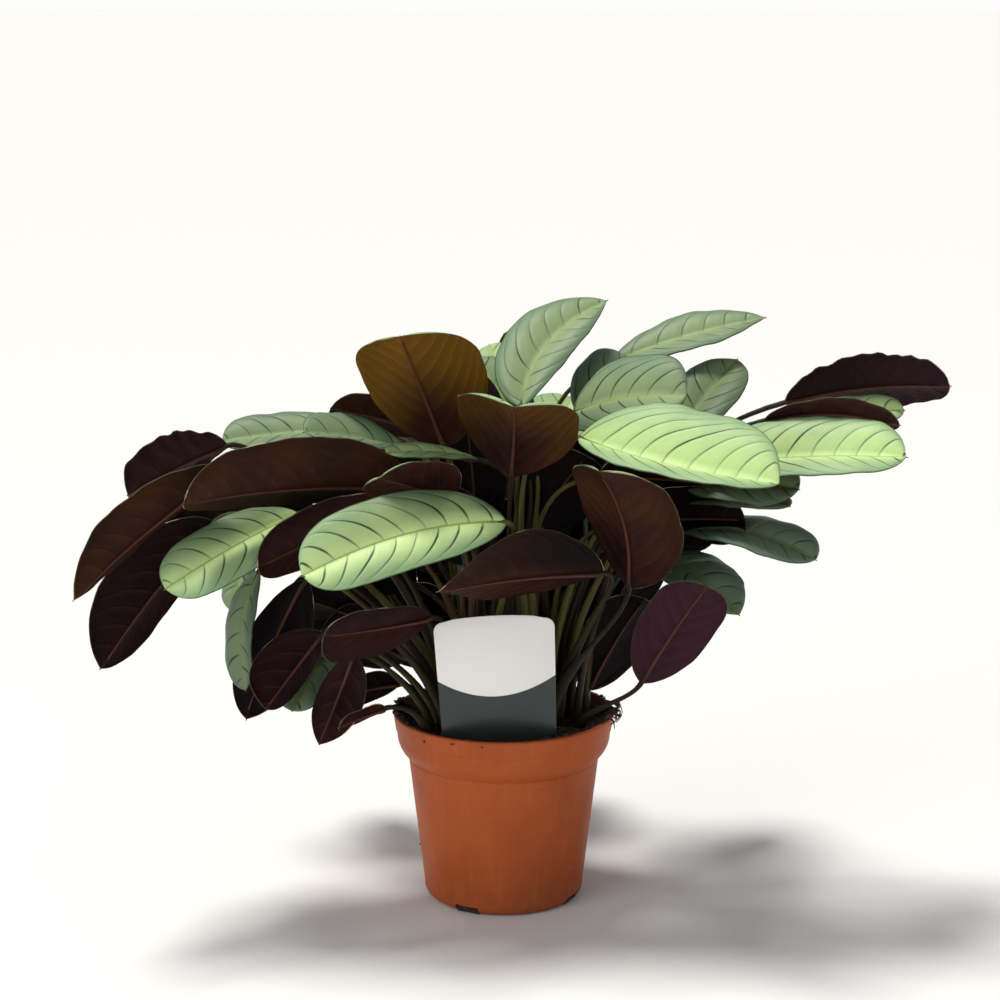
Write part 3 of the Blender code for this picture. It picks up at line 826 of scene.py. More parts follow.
LEAVES = (
    Leaf("front_left", (-10, -16), (1, -62, 221), (-100, -105, 203), 42, (0, -0.85, 0.5), 8, 5, 6, 0,
         0.12, skew=0.08, shade=0.62),
    Leaf("front_right", (14, -20), (39, -38, 260), (137, -88, 246), 58, (0, -0.5, 0.87), 0, 5, 27,
         skew=-0.22, widest=0.46),
    Leaf("centre", (4, -12), (4, -26, 237), (5, -84, 284), 66, (0.2, 0.63, 0.78), 4, 0, 18,
         tone=Tone.GLINT, shade=0.35),
    Leaf("centre_right", (24, -26), (66, -24, 177), (47, -78, 251), 60, (0.5, 0.66, 0.55), 5, -4, 16,
         tone=Tone.BROWN),
    Leaf("centre_low", (28, -12), (52, -36, 188), (-34, -84, 190), 54, (0, 0.85, 0.5), 3, 0, 24, 1, 0.2,
         Tone.BROWN, shade=-0.85),
    Leaf("top_left", (-10, -8), (-31, -8, 249), (-52, -60, 316), 65, (0, 0.75, 0.6), 4, 1, 8, 0.1,
         tone=Tone.BACKLIT, skew=-0.1, widest=0.6),
    Leaf("top", (6, 2), (9, -8, 271), (57, 50, 320), 40, (-0.15, -0.57, 0.8), 1, -12, 8, 0.6, 0.15,
         Tone.SAGE, skew=-0.15),
    Leaf("left_long", (-14, -20), (-46, -30, 231), (-161, -80, 234), 52, (0, 0.8, 0.6), 6, 0, 16,
         tone=Tone.BROWN, skew=-0.25, shade=0.8),
    Leaf("left_drooping", (-30, 0), (-142, -40, 243), (-214, -95, 188), 42, (-0.25, 0.73, 0.65), 4, 0, 24,
         0.6, 0.2, Tone.BROWN, skew=-0.12),
    Leaf("left_curled", (-22, -4), (-146, -6, 250), (-196, -30, 228), 42, (-0.2, 0.75, 0.6), 2, 0, 20, 0,
         0.1, tone=Tone.VIOLET, wave=2.2),
    Leaf("left_green_outer", (-20, 4), (-80, 26, 253), (-152, 16, 248), 34, (0, -0.4, 0.9), 1, 0, 14,
         tone=Tone.GREY),
    Leaf("left_green_inner", (-12, 0), (-53, 0, 248), (-104, -28, 261), 34, (0, -0.4, 0.9), 1, 0, 18,
         tone=Tone.GREY),
    Leaf("left_folded", (-6, -6), (-26, -40, 230), (-62, -80, 248), 44, (0, 0.75, 0.6), 0, 0, 10,
         tone=Tone.BROWN),
    Leaf("left_edge", (-14, 10), (-14, -18, 245), (-61, -38, 252), 28, (0, -0.1, 1), 2, 0, 6,
         tone=Tone.PALE),
    Leaf("left_behind_top", (-16, 18), (-42, 12, 254), (-92, 0, 269), 34, (0, 0.7, 0.7), 2, 0, 8,
         tone=Tone.BROWN),
    Leaf("left_maroon", (-18, -24), (-50, -34, 219), (-126, -62, 197), 48, (0, 0.8, 0.6), 5, 0, 10,
         tone=Tone.MAROON),
    Leaf("left_green_low", (-26, -20), (-108, -20, 216), (-172, -72, 188), 37, (0, -0.75, 0.65), 4, 0, 6,
         tone=Tone.SUNNY, shade=0.6),
    Leaf("left_dark_tail", (-28, -10), (-152, -22, 212), (-206, -72, 146), 46, (0.2, 0.75, 0.6), 4, 0, 14,
         0.5, 0.2, Tone.DARK, skew=-0.22),
    Leaf("left_hanging_green", (-32, -14), (-128, -30, 188), (-134, -50, 128), 23, (-0.6, -0.6, 0.3), 4,
         5, 8, 0.3, 0.2, Tone.DUSK),
    Leaf("left_hanging_pale", (-36, 7), (-132, 16, 201), (-146, 2, 157), 22, (-0.5, -0.6, 0.5), 3, 0, 8,
         tone=Tone.SAGE),
    Leaf("left_hanging_dark", (-30, -22), (-104, -20, 180), (-135, -46, 111), 37, (0.5, 0.8, 0.3), 3, -4,
         10, 0.5, 0.2, Tone.BLACK),
    Leaf("low_brown", (-30, -28), (-94, -40, 157), (-122, -72, 125), 29, (0.1, 0.95, 0.1), 3, 0, 16, 0.4,
         tone=Tone.MAROON, skew=-0.4),
    Leaf("low_green", (-36, -8), (-92, -4, 138), (-112, -34, 112), 30, (-0.3, -0.6, 0.7), 3, 0, 6,
         tone=Tone.DUSK),
    Leaf("low_wide", (-24, -32), (-38, -40, 165), (-91, -86, 168), 34, (0, 0.95, 0.3), -1, 0, 6, 0, 0.25,
         tone=Tone.MAROON, skew=0.25),
    Leaf("low_purple", (-38, -26), (-78, -41, 145), (-96, -60, 102), 27, (0.35, 0.93, 0), 2, 0, 14, 0.7,
         0.1, Tone.MAROON),
    Leaf("low_small", (-40, -32), (-62, -50, 119), (-85, -67, 114), 16, (0, 0.8, 0.6), 1, 0, 6,
         tone=Tone.BROWN),
    Leaf("low_edge", (-42, -8), (-56, -6, 119), (-83, -24, 118), 20, (0, 0.9, 0.3), 2, 0, 6,
         tone=Tone.BLACK),
    Leaf("top_small_left", (2, 12), (5, 16, 266), (-16, 46, 287), 24, (-0.2, -0.7, 0.7), 2, 0, 8,
         tone=Tone.GREY),
    Leaf("top_small_right", (4, 18), (8, 28, 262), (-8, 62, 294), 24, (0, -0.8, 0.6), 2, 0, 8, 0, 0.15,
         Tone.PALE),
    Leaf("top_small_purple", (10, 26), (14, 64, 268), (0, 86, 297), 24, (0, 0.7, 0.5), 2, 0, 8,
         tone=Tone.VIOLET),
    Leaf("top_violet", (-6, 4), (-1, 8, 260), (-31, 12, 286), 28, (0, 0.8, 0.6), 2, 0, 8,
         tone=Tone.VIOLET),
    Leaf("right_top", (26, 18), (61, 54, 286), (145, 62, 309), 36, (0, -0.35, 0.94), 2, 0, 12, 0.7,
         tone=Tone.SAGE),
    Leaf("right_grey", (18, 20), (41, 30, 260), (70, 42, 289), 38, (-0.3, -0.75, 0.55), 2, 0, 8,
         tone=Tone.TEAL),
    Leaf("right_hump", (16, -4), (37, 8, 265), (95, -28, 280), 52, (0, -0.7, 0.7), 6, 0, 12, 0, 0.15,
         Tone.SAGE, shade=0.3),
    Leaf("right_olive", (22, 8), (90, 4, 250), (129, 55, 287), 38, (-0.1, -0.55, 0.83), 3, 0, 10, 0.6,
         0.15, Tone.OLIVE),
    Leaf("right_bright", (24, -8), (100, -20, 241), (204, -60, 254), 48, (0, -0.55, 0.83), 4, 0, 18,
         skew=-0.05),
    Leaf("right_purple", (26, 12), (151, 18, 269), (236, -2, 281), 44, (0, 0.75, 0.65), 5, 0, 12,
         tone=Tone.PLUM, wave=1.7),
    Leaf("right_brown", (30, 4), (136, -16, 265), (204, -36, 266), 30, (0, 0.6, 0.8), 6, 0, 8,
         tone=Tone.BROWN),
    Leaf("right_green_tip", (34, 16), (152, 10, 258), (212, -2, 268), 27, (0, -0.5, 0.85), 3, 0, 8),
    Leaf("right_pale_under", (31, -3), (95, -14, 231), (152, -44, 234), 36, (0, -0.5, 0.85), 3, 0, 8, 0,
         0.15, Tone.OLIVE),
    Leaf("right_thin", (45, 6), (98, -16, 221), (147, -48, 226), 28, (0, -0.1, 1), 2, 0, 6,
         tone=Tone.TEAL),
    Leaf("right_teal", (40, -8), (96, -10, 204), (161, -50, 198), 38, (0, -0.25, 0.97), 7, 0, 8,
         tone=Tone.TEAL),
    Leaf("right_low_teal", (36, 2), (81, 14, 186), (123, -40, 166), 36, (0.2, -0.6, 0.75), 6, 0, 8, 0.5,
         tone=Tone.TEAL),
    Leaf("right_low_maroon", (40, -18), (73, -27, 126), (104, -62, 188), 39, (0.2, 0.85, 0.45), 4, 0, 8,
         tone=Tone.VIOLET),
    Leaf("inner_centre", (10, 32), (20, 41, 190), (-10, 48, 236), 40, (0.2, 0.9, 0.3), 3, 0, 8,
         tone=Tone.BLACK),
    Leaf("back_left", (-22, 20), (-64, 52, 226), (-150, 92, 206), 46, (-0.2, 0.5, 0.85), 8, 0, 10,
         tone=Tone.PALE),
    Leaf("back_centre", (-6, 26), (-22, 68, 228), (-56, 150, 206), 48, (0, 0.5, 0.87), 10, 0, 12),
    Leaf("back_right", (26, 30), (56, 62, 224), (128, 116, 212), 46, (0.3, 0.4, 0.87), 8, 0, 10, 0, 0.15),
    Leaf("back_upright", (2, 40), (24, 84, 226), (40, 124, 254), 44, (0, -0.6, 0.8), 3, 0, 10,
         tone=Tone.PALE),
    Leaf("back_low_left", (-24, 30), (-60, 70, 164), (-112, 128, 136), 42, (-0.3, 0.5, 0.8), 8, 0, 10,
         tone=Tone.GREY),
    Leaf("back_low_centre", (-8, 46), (6, 82, 162), (20, 160, 128), 44, (0, 0.55, 0.83), 9, 0, 10,
         tone=Tone.PALE),
    Leaf("back_low_right", (34, 38), (68, 60, 166), (136, 100, 144), 42, (0.3, 0.4, 0.87), 8, 0, 10,
         tone=Tone.GREY),
    Leaf("back_fill_left", (-28, 26), (-52, 44, 196), (-116, 60, 168), 46, (0.1, 0.85, 0.5), 4, 0, 8,
         tone=Tone.DARK),
    Leaf("back_fill_right", (32, 24), (54, 42, 204), (116, 56, 196), 48, (0, 0.85, 0.5), 4, 0, 8,
         tone=Tone.BLACK),
)


# The leaves inside the plant, all with the BLACK tone: painted shade to near black.
INNER_LEAVES = tuple(
    Leaf("inside", root, base, tip, width, face, arch, tone=Tone.BLACK)
    for root, base, tip, width, face, arch in (
        ((-6, 14), (-14, 24, 122), (-34, 34, 206), 50, (0.1, 0.9, 0.4), 3),
        ((2, 18), (6, 28, 118), (12, 40, 214), 52, (0, 0.9, 0.4), 3),
        ((12, 14), (28, 24, 120), (50, 34, 204), 50, (-0.1, 0.9, 0.4), 3),
        ((-18, 10), (-44, 18, 122), (-88, 26, 178), 44, (0.2, 0.9, 0.3), 4),
        ((20, 12), (46, 20, 122), (80, 28, 190), 44, (-0.2, 0.9, 0.3), 4),
        ((-12, 18), (-32, 30, 172), (-74, 46, 240), 48, (0, 0.9, 0.4), 3),
        ((18, 18), (26, 34, 172), (62, 42, 244), 50, (0, 0.9, 0.4), 3),
        ((-26, 2), (-52, 6, 130), (-98, -6, 150), 42, (0.1, 0.9, 0.3), 3),
        ((-16, 4), (-48, 4, 172), (-100, -10, 196), 46, (0.1, 0.9, 0.3), 3),
        ((18, 4), (56, 4, 188), (112, -2, 214), 48, (-0.1, 0.9, 0.3), 3),
        ((8, 8), (10, 4, 196), (44, -12, 246), 46, (0, 0.9, 0.4), 3),
        ((-4, 6), (-10, 2, 184), (-44, -14, 222), 44, (0, 0.9, 0.4), 3),
        ((-22, 14), (-26, 22, 106), (-54, 28, 166), 40, (0.2, 0.9, 0.3), 3),
        ((22, 14), (24, 22, 106), (54, 28, 168), 42, (-0.2, 0.9, 0.3), 3),
        ((-4, 22), (-6, 30, 104), (-10, 40, 176), 46, (0, 0.9, 0.4), 3),
        ((10, 20), (14, 28, 104), (24, 38, 176), 46, (0, 0.9, 0.4), 3),
        ((18, -6), (50, -12, 234), (112, -34, 234), 40, (-0.1, 0.85, 0.5), 3),
        ((26, 0), (62, -6, 208), (126, -34, 216), 40, (0.1, 0.9, 0.4), 3),
        ((-14, 2), (-34, 0, 210), (-96, -20, 222), 44, (0.1, 0.9, 0.4), 3),
        ((-18, 2), (-84, 2, 206), (-188, -16, 203), 34, (0.1, 0.9, 0.4), 3),
        ((-24, 0), (-62, 0, 146), (-116, -14, 172), 46, (0.1, 0.9, 0.3), 3),
        ((-4, 8), (-14, 6, 196), (-20, 2, 266), 36, (0.2, 0.9, 0.3), 3),
        ((-8, 14), (-14, 26, 146), (-26, 24, 226), 42, (-0.9, -0.1, 0.3), 3),
        ((30, 2), (46, 6, 112), (76, -2, 166), 42, (-0.3, 0.9, 0.2), 3),
        ((24, 20), (34, 40, 140), (44, 44, 214), 42, (0.9, -0.1, 0.3), 3),
    )
)


def unit(vectors: np.ndarray) -> np.ndarray:
    """The directions of an array of vectors, or of one."""
    return vectors / np.linalg.norm(vectors, axis=-1, keepdims=True)


def ramp(values: Any, start: float, end: float) -> Any:
    """Rises from 0 at start to 1 at end, and stays level outside them."""
    return np.clip((values - start) / (end - start), 0.0, 1.0)


@dataclass
class Blade:
    """The shape of one leaf: where its blade, midrib and stalk run, in millimetres.

    Values named share are parts of the leaf's length or width, and the ones for ripples,
    puckers, crown and groove shape the surface between midrib and margin.
    """

    leaf: Leaf
    seed: int
    length_steps: int = 44
    width_steps: int = 20
    thickness: float = 0.45
    round_end: float = 0.985
    base_fullness: float = 0.62
    spur_width: float = 1.1
    spur_share: float = 0.06
    tip_width: float = 0.15
    ripple_length: float = 36.0
    ripple_height: float = 0.42
    overtone: float = 2.3
    overtone_height: float = 0.6
    pucker_length: float = 9.5
    pucker_height: float = 0.40
    pucker_from: float = 1.5
    twist: float = 0.05
    crown: float = 0.10
    droop: float = 0.05
    groove_depth: float = 0.55
    groove_width: float = 1.6
    root_depth: float = 1.5
    least_rise: float = 20.0
    knee: float = 1.5
    stalk_radius: float = 1.25
    sheath_radius: float = 2.5
    base: np.ndarray = field(init=False)
    chord: np.ndarray = field(init=False)
    length: float = field(init=False)
    up: np.ndarray = field(init=False)
    right: np.ndarray = field(init=False)
    bow: np.ndarray = field(init=False)

    def __post_init__(self) -> None:
        """Works out the blade's directions at its chord."""
        self.base = np.array(self.leaf.base, float)
        self.chord = np.array(self.leaf.tip, float) - self.base
        self.length = float(np.linalg.norm(self.chord))
        along = self.chord / self.length
        face = np.array(self.leaf.face, float)
        self.up = unit(face - along * np.dot(face, along))
        self.right = np.cross(along, self.up)
        self.bow = 4.0 * (self.up * self.leaf.arch + self.right * self.leaf.sweep)

    def midrib(self, t: np.ndarray) -> np.ndarray:
        """Points of the midrib at t, from 0 at the base to 1 at the tip."""
        t = np.asarray(t, float)[..., None]
        return self.base + self.chord * t + self.bow * t * (1.0 - t)

    def heading(self, t: np.ndarray) -> np.ndarray:
        """The midrib's directions at t."""
        t = np.asarray(t, float)[..., None]
        return unit(self.chord + self.bow * (1.0 - 2.0 * t))

    def sides(self, t: np.ndarray) -> tuple[np.ndarray, np.ndarray]:
        """The blade's right and up directions at t."""
        heading = self.heading(t)
        up = unit(self.up - heading * np.sum(self.up * heading, axis=-1, keepdims=True))
        return np.cross(heading, up), up

    def half_width(self, t: np.ndarray, w: np.ndarray) -> np.ndarray:
        """The distance from midrib to margin: a full oblong that ends in a small spur.

        Args:
            t: shares along the midrib.
            w: shares across, whose sign tells the half.

        Returns:
            The distances in millimetres.
        """
        s = ramp(t, 0.0, self.round_end)
        widest, point = self.leaf.widest, self.leaf.point
        rise = (1.0 - (1.0 - ramp(s, 0.0, widest)) ** 2) ** self.base_fullness
        fall = (1.0 - ramp(s, widest, 1.0) ** (4.0 - 2.6 * point)) ** (0.5 + 0.5 * point)
        spur = np.clip(self.spur_width * (1.0 - t) / self.spur_share, self.tip_width, self.spur_width)
        half = self.leaf.width / 2 * (1.0 + self.leaf.skew * np.sign(w))
        return np.maximum(np.minimum(rise, fall) * half, spur)

    def ruffle(self, t: np.ndarray, w: np.ndarray, side: np.ndarray) -> np.ndarray:
        """How far the surface ripples up towards the margin.

        Args:
            t: shares along the midrib.
            w: shares across.
            side: where in a ripple each half begins, in radians.

        Returns:
            The heights in millimetres.
        """
        out = np.abs(w)
        run = math.tau * self.length
        turns = run / self.ripple_length * t
        ripple = np.sin(turns + side) + self.overtone_height * np.sin(turns * self.overtone + side * 2.0)
        height = self.ripple_height * self.leaf.wave * out**2.2 * ripple
        if self.leaf.wave > self.pucker_from:
            folds = run / self.pucker_length * (t - out * 0.12)
            pucker = np.sin(folds + side + 1.5 * np.sin(9.0 * t + side))
            height = height + self.pucker_height * self.leaf.wave * out**0.8 * pucker
        return height

    def surface(self, t: np.ndarray, w: np.ndarray) -> np.ndarray:
        """Points of the blade's middle surface.

        Args:
            t: shares along the midrib.
            w: shares across, from -1 at the left margin to 1 at the right one.

        Returns:
            The points in millimetres.
        """
        right, up = self.sides(t)
        wide = self.half_width(t, w)
        out = np.abs(w)
        fold = math.radians(self.leaf.fold)
        rng = random.Random(self.seed)
        left_start, right_start, twist_start = (rng.uniform(0.0, math.tau) for _ in range(3))
        side = np.where(w < 0.0, left_start, right_start)
        body = ramp(t, 0.0, 1.0 / 5.0) * ramp(t, 1.0, 6.0 / 7.0)
        twist = self.twist * wide * w * np.sin(math.tau * 0.7 * t + twist_start)
        rounding = wide * (self.crown * np.sin(math.pi * out) - self.droop * out**6)
        groove = -self.groove_depth * np.exp(-((out * wide / self.groove_width) ** 2))
        spread = wide * w * math.cos(fold)
        relief = (self.ruffle(t, w, side) + groove) * body + rounding + twist
        lift = wide * out * math.sin(fold) + relief
        return self.midrib(t) + right * spread[..., None] + up * lift[..., None]

    def stalk(self, t: np.ndarray) -> np.ndarray:
        """Points of the stalk at t, from 0 at the soil to 1 at the blade's base.

        Args:
            t: shares along the stalk.

        Returns:
            The points in millimetres.
        """
        t = np.asarray(t, float)[..., None]
        root = np.array((*self.leaf.root, SOIL_TOP - self.root_depth), float)
        height = max(self.base[2] - root[2], self.least_rise) / 2
        over_root = root + np.array((0.0, 0.0, height))
        reach = np.linalg.norm(self.base - root) * self.leaf.lead
        behind = self.base - self.heading(0.0) * reach
        s = 1.0 - t
        return root * s**3 + over_root * 3 * t * s**2 + behind * 3 * t**2 * s + self.base * t**3


@dataclass
class Foliage:
    """Every leaf of the plant, with its blade, its midrib and its stalk in one piece.

    The stem's values are shares of its stalk or midrib, and rib_depth is in millimetres.
    """

    leaves: Sequence[Leaf] = LEAVES
    inner: Sequence[Leaf] = INNER_LEAVES
    inner_seed: int = 100
    even_share: float = 0.45
    stalk_rings: int = 40
    stalk_sides: int = 10
    stalk_share: float = 0.55
    sheath: tuple[float, float] = (0.6, 0.25)
    sheath_flatness: float = 0.22
    knee: tuple[float, float] = (0.86, 0.96)
    knee_end: float = 1.0 / 9.0
    rib_reach: float = 0.93
    rib_taper: float = 0.78
    rib_start: float = 1.0 / 14.0
    rib_depth: float = 0.55
    shade_fade: tuple[float, float] = (1.0, 1.0 / 3.0)
    shade_reach: float = 5.0 / 7.0

    def dress(self) -> list[bpy.types.Material]:
        """Makes the leaves' four materials."""
        return [UpperSide().build(), UnderSide().build(), Margin().build(), StalkSkin().build()]

    def blade(self, shape: Blade) -> bmesh.types.BMesh:
        """A blade with an upper and an under surface, joined at the margin.

        Args:
            shape: the leaf's shape.

        Returns:
            The bmesh in metres, whose blade layer holds centimetres along, across and to the margin.
        """
        bm = bmesh.new()
        bmesh.ops.create_grid(bm, x_segments=shape.length_steps, y_segments=shape.width_steps, size=0.5)
        layer = bm.verts.layers.float_vector.new("blade")
        grid = np.array([vert.co for vert in bm.verts])
        even = grid[:, 0] + 0.5
        eased = 0.5 - 0.5 * np.cos(math.pi * even)
        t = self.even_share * even + (1.0 - self.even_share) * eased
        w = 0.5 * np.sin(grid[:, 1] * math.pi) + grid[:, 1]
        points = shape.surface(t, w)
        wide = shape.half_width(t, w)
        for vert, point, along, across, reach in zip(bm.verts, points, t * shape.length, w * wide, wide):
            vert.co = point * MM
            vert[layer] = (along * CM, across * CM, (reach - abs(across)) * CM)
        bm.normal_update()
        if sum(face.normal.dot(Vector(shape.up)) for face in bm.faces) < 0.0:
            bmesh.ops.reverse_faces(bm, faces=bm.faces)
            bm.normal_update()
        rim = [edge for edge in bm.edges if edge.is_boundary]
        upper = bm.faces[:]
        copied = bmesh.ops.duplicate(bm, geom=bm.verts[:] + bm.edges[:] + upper)
        under = [item for item in copied["geom"] if isinstance(item, bmesh.types.BMFace)]
        low_rim = [copied["edge_map"][edge] for edge in rim]
        half = shape.thickness * MM / 2
        for faces, shift in ((upper, half), (under, -half)):
            for vert in {vert for face in faces for vert in face.verts}:
                vert.co += vert.normal * shift
        bmesh.ops.reverse_faces(bm, faces=under)
        edges = bmesh.ops.bridge_loops(bm, edges=rim + low_rim)["faces"]
        for number, faces in enumerate((upper, under, edges)):
            for face in faces:
                face.material_index = number
        bm.normal_update()
        return bm

    def stem(self, shape: Blade) -> bmesh.types.BMesh:
        """The stalk, which runs on under the blade as its midrib.

        Args:
            shape: the leaf's shape.

        Returns:
            The bmesh in metres, whose stem layer holds height, side and share of midrib.
        """
        shares = np.linspace(0.0, 1.0, self.stalk_rings + 1)
        on_stalk = ramp(shares, 0.0, self.stalk_share)
        on_rib = ramp(shares, self.stalk_share, 1.0) * self.rib_reach
        below = shares <= self.stalk_share
        sheath = ramp(on_stalk, *self.sheath)
        knee = ramp(on_stalk, *self.knee) * ramp(on_rib, self.knee_end, 0.0)
        radius = shape.stalk_radius + (shape.sheath_radius - shape.stalk_radius) * sheath
        radius = radius + (shape.knee - shape.stalk_radius) * knee
        radius = np.where(below, radius, radius * (1.0 - self.rib_taper * on_rib**0.6))
        drop = ramp(on_rib, 0.0, self.rib_start) * (radius + self.rib_depth)
        _, up = shape.sides(on_rib)
        under_rib = shape.midrib(on_rib) - up * drop[:, None]
        points = np.where(below[:, None], shape.stalk(on_stalk), under_rib)
        side = shape.right
        frames = []
        for heading in unit(np.gradient(points, axis=0))[::-1]:
            side = unit(side - heading * np.dot(side, heading))
            frames.append((side, np.cross(side, heading)))
        frames.reverse()

        def place(share: float, round_share: float) -> Vector:
            """Places a point of the tube.

            Args:
                share: how far along it is, from 0 to 1.
                round_share: how far round it is, from 0 to 1.

            Returns:
                The point in metres.
            """
            ring = round(share * self.stalk_rings)
            across, over = frames[ring]
            angle = round_share * math.tau
            flat = 1.0 + self.sheath_flatness * sheath[ring]
            edge = across * math.cos(angle) * flat + over * math.sin(angle) / flat
            return Vector(points[ring] + edge * radius[ring]) * MM

        bm = tube(self.stalk_rings, self.stalk_sides, place)
        layer = bm.verts.layers.float_vector.new("stem")
        for vert in bm.verts:
            spot = np.array(vert.co) / MM
            ring = int(np.argmin(np.sum((points - spot) ** 2, axis=1)))
            out = np.dot(frames[ring][0], spot - points[ring]) / radius[ring]
            height = (spot[2] - SOIL_TOP) * CM
            vert[layer] = (height, abs(out) * sheath[ring], min(1.0, on_rib[ring] * 6.0))
        for face in bm.faces:
            face.material_index = 3
        return bm

    def whole(self, leaf: Leaf, seed: int) -> bmesh.types.BMesh:
        """One leaf with its stalk and its tones.

        Args:
            leaf: the leaf.
            seed: the number that its ripples and veins follow.

        Returns:
            The bmesh in metres.
        """
        shape = Blade(leaf, seed)
        bm = merged((self.blade(shape), self.stem(shape)))
        # Tone values: a painted shade tint and painted shade for the upper side, violet, a painted
        # backlight glow, and painted shade (dark) for the underside.
        shade_tint, shade_amount, violet, backlight_glow, dark = leaf.tone.value
        tone, under = (bm.verts.layers.float_vector.new(name) for name in ("tone", "under_tone"))
        blade = bm.verts.layers.float_vector["blade"]
        # Painted shadow: the leaf's shade darkens one half towards its base, on both sides.
        marks = np.array([vert[blade] for vert in bm.verts])
        nearness = ramp(marks[:, 0] / (shape.length * CM), *self.shade_fade)
        reach = ramp(marks[:, 1] * math.copysign(1.0, leaf.shade), 0.0, self.shade_reach)
        for vert, painted_shadow in zip(bm.verts, abs(leaf.shade) * nearness * reach):
            vert[tone] = (shade_tint, seed % 17 / 17, min(shade_amount + painted_shadow, 1.0))
            vert[under] = (violet, backlight_glow, min(dark + painted_shadow, 1.0))
        return bm

    def build(self) -> None:
        """Makes every leaf, and the leaves inside as one piece, painted near black as painted shade."""
        skins = self.dress()
        for seed, leaf in enumerate(self.leaves):
            slot = "leaf_maroon" if leaf.face[1] > 0 else "leaf_green"
            new_object(f"{leaf.name}_leaf", self.whole(leaf, seed), skins, slot, [f"leaf_{leaf.name}"])
        inside = merged(self.whole(leaf, seed) for seed, leaf in enumerate(self.inner, self.inner_seed))
        new_object("inner_leaves", inside, skins, "leaf_maroon")


# Pot, soil and tag


@dataclass
class Pot:
    """The nursery pot, in millimetres."""

    rim_radius: float = 60.0
    height: float = 103.0
    lip_foot: float = 93.0
    band_foot_radius: float = 57.4
    band_foot: float = 85.0
    chamfer_foot: float = 79.0
    body_top_radius: float = 51.8
    body_foot_radius: float = 43.2
    foot_rounding: float = 5.0
    wall: float = 1.3
    floor: float = 1.6
    notch_width: float = 14.0
    notch_height: float = 4.4
    notch_rounding: float = 0.8
    notch_inner_radius: float = 34.0
    notch_angles: tuple[float, ...] = (-28.0, 62.0, 152.0, 242.0)
    sharp_angle: float = 35.0
    steps: int = 144

    def profile(self) -> tuple[list[tuple[float, float]], dict[int, float]]:
        """The pot's section and the rounding of its corners.

        Returns:
            The corners, each a radius and a height, and the rounding of those that have one.
        """
        lip_radius = self.rim_radius - 1.5
        inner = self.wall
        corners = [
            ((0.0, 0.0), 0.0),
            ((self.body_foot_radius, 0.0), self.foot_rounding),
            ((self.body_foot_radius + 0.25, 7.0), 0.0),
            ((self.body_top_radius - 0.05, self.chamfer_foot - 1.5), 0.2),
            ((self.body_top_radius - 0.45, self.chamfer_foot - 0.7), 0.15),
            ((self.body_top_radius + 0.7, self.chamfer_foot), 0.5),
            ((self.band_foot_radius, self.band_foot), 4.0),
            ((lip_radius - 0.5, self.lip_foot - 0.6), 0.2),
            ((lip_radius - 0.45, self.lip_foot), 0.2),
            ((lip_radius + 0.1, self.lip_foot + 0.5), 0.3),
            ((self.rim_radius, self.height - 1.0), 0.5),
            ((self.rim_radius - 0.4, self.height), 0.5),
            ((self.rim_radius - 2.6, self.height), 0.4),
            ((self.band_foot_radius - inner, self.band_foot + 1.0), 0.8),
            ((self.body_top_radius - inner, self.chamfer_foot - 1.0), 0.5),
            ((self.body_foot_radius - inner, self.floor), 3.0),
            ((0.0, self.floor), 0.0),
        ]
        rounds = {number: size for number, (_, size) in enumerate(corners) if size}
        return [corner for corner, _ in corners], rounds

    def cutter(self, number: int, degrees: float) -> bpy.types.Object:
        """A rounded block that cuts one drain notch out of the foot, at an angle from the front.

        Args:
            number: which notch it is.
            degrees: its angle from the front.

        Returns:
            The cutter.
        """
        depth = self.rim_radius - self.notch_inner_radius
        bm = block((self.notch_width, depth, self.notch_height * 2))
        bevel(bm, bm.edges[:], self.notch_rounding, 3)
        move(bm, (0.0, -self.notch_inner_radius - depth / 2, 0.0))
        turn(bm, math.radians(degrees))
        return new_object(f"notch_cutter_{number}", bm, [])

    def build(self) -> None:
        """Makes the pot and cuts its drain notches."""
        points, rounds = self.profile()
        pot = new_object("pot_shell", lathe(points, rounds, self.steps), [PotPlastic().build()])
        cutters = [self.cutter(number, degrees) for number, degrees in enumerate(self.notch_angles)]
        for cutter in cutters:
            modifier = pot.modifiers.new("notch", "BOOLEAN")
            modifier.object = cutter
            modifier.solver = "EXACT"
        bpy.context.view_layer.update()
        graph = bpy.context.evaluated_depsgraph_get()
        cut = bpy.data.meshes.new_from_object(pot.evaluated_get(graph))
        pot.modifiers.clear()
        pot.data = cut
        cut.shade_smooth()
        cut.set_sharp_from_angle(angle=math.radians(self.sharp_angle))
        for cutter in cutters:
            bpy.data.objects.remove(cutter)
        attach(pot, "root")
        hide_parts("pot")


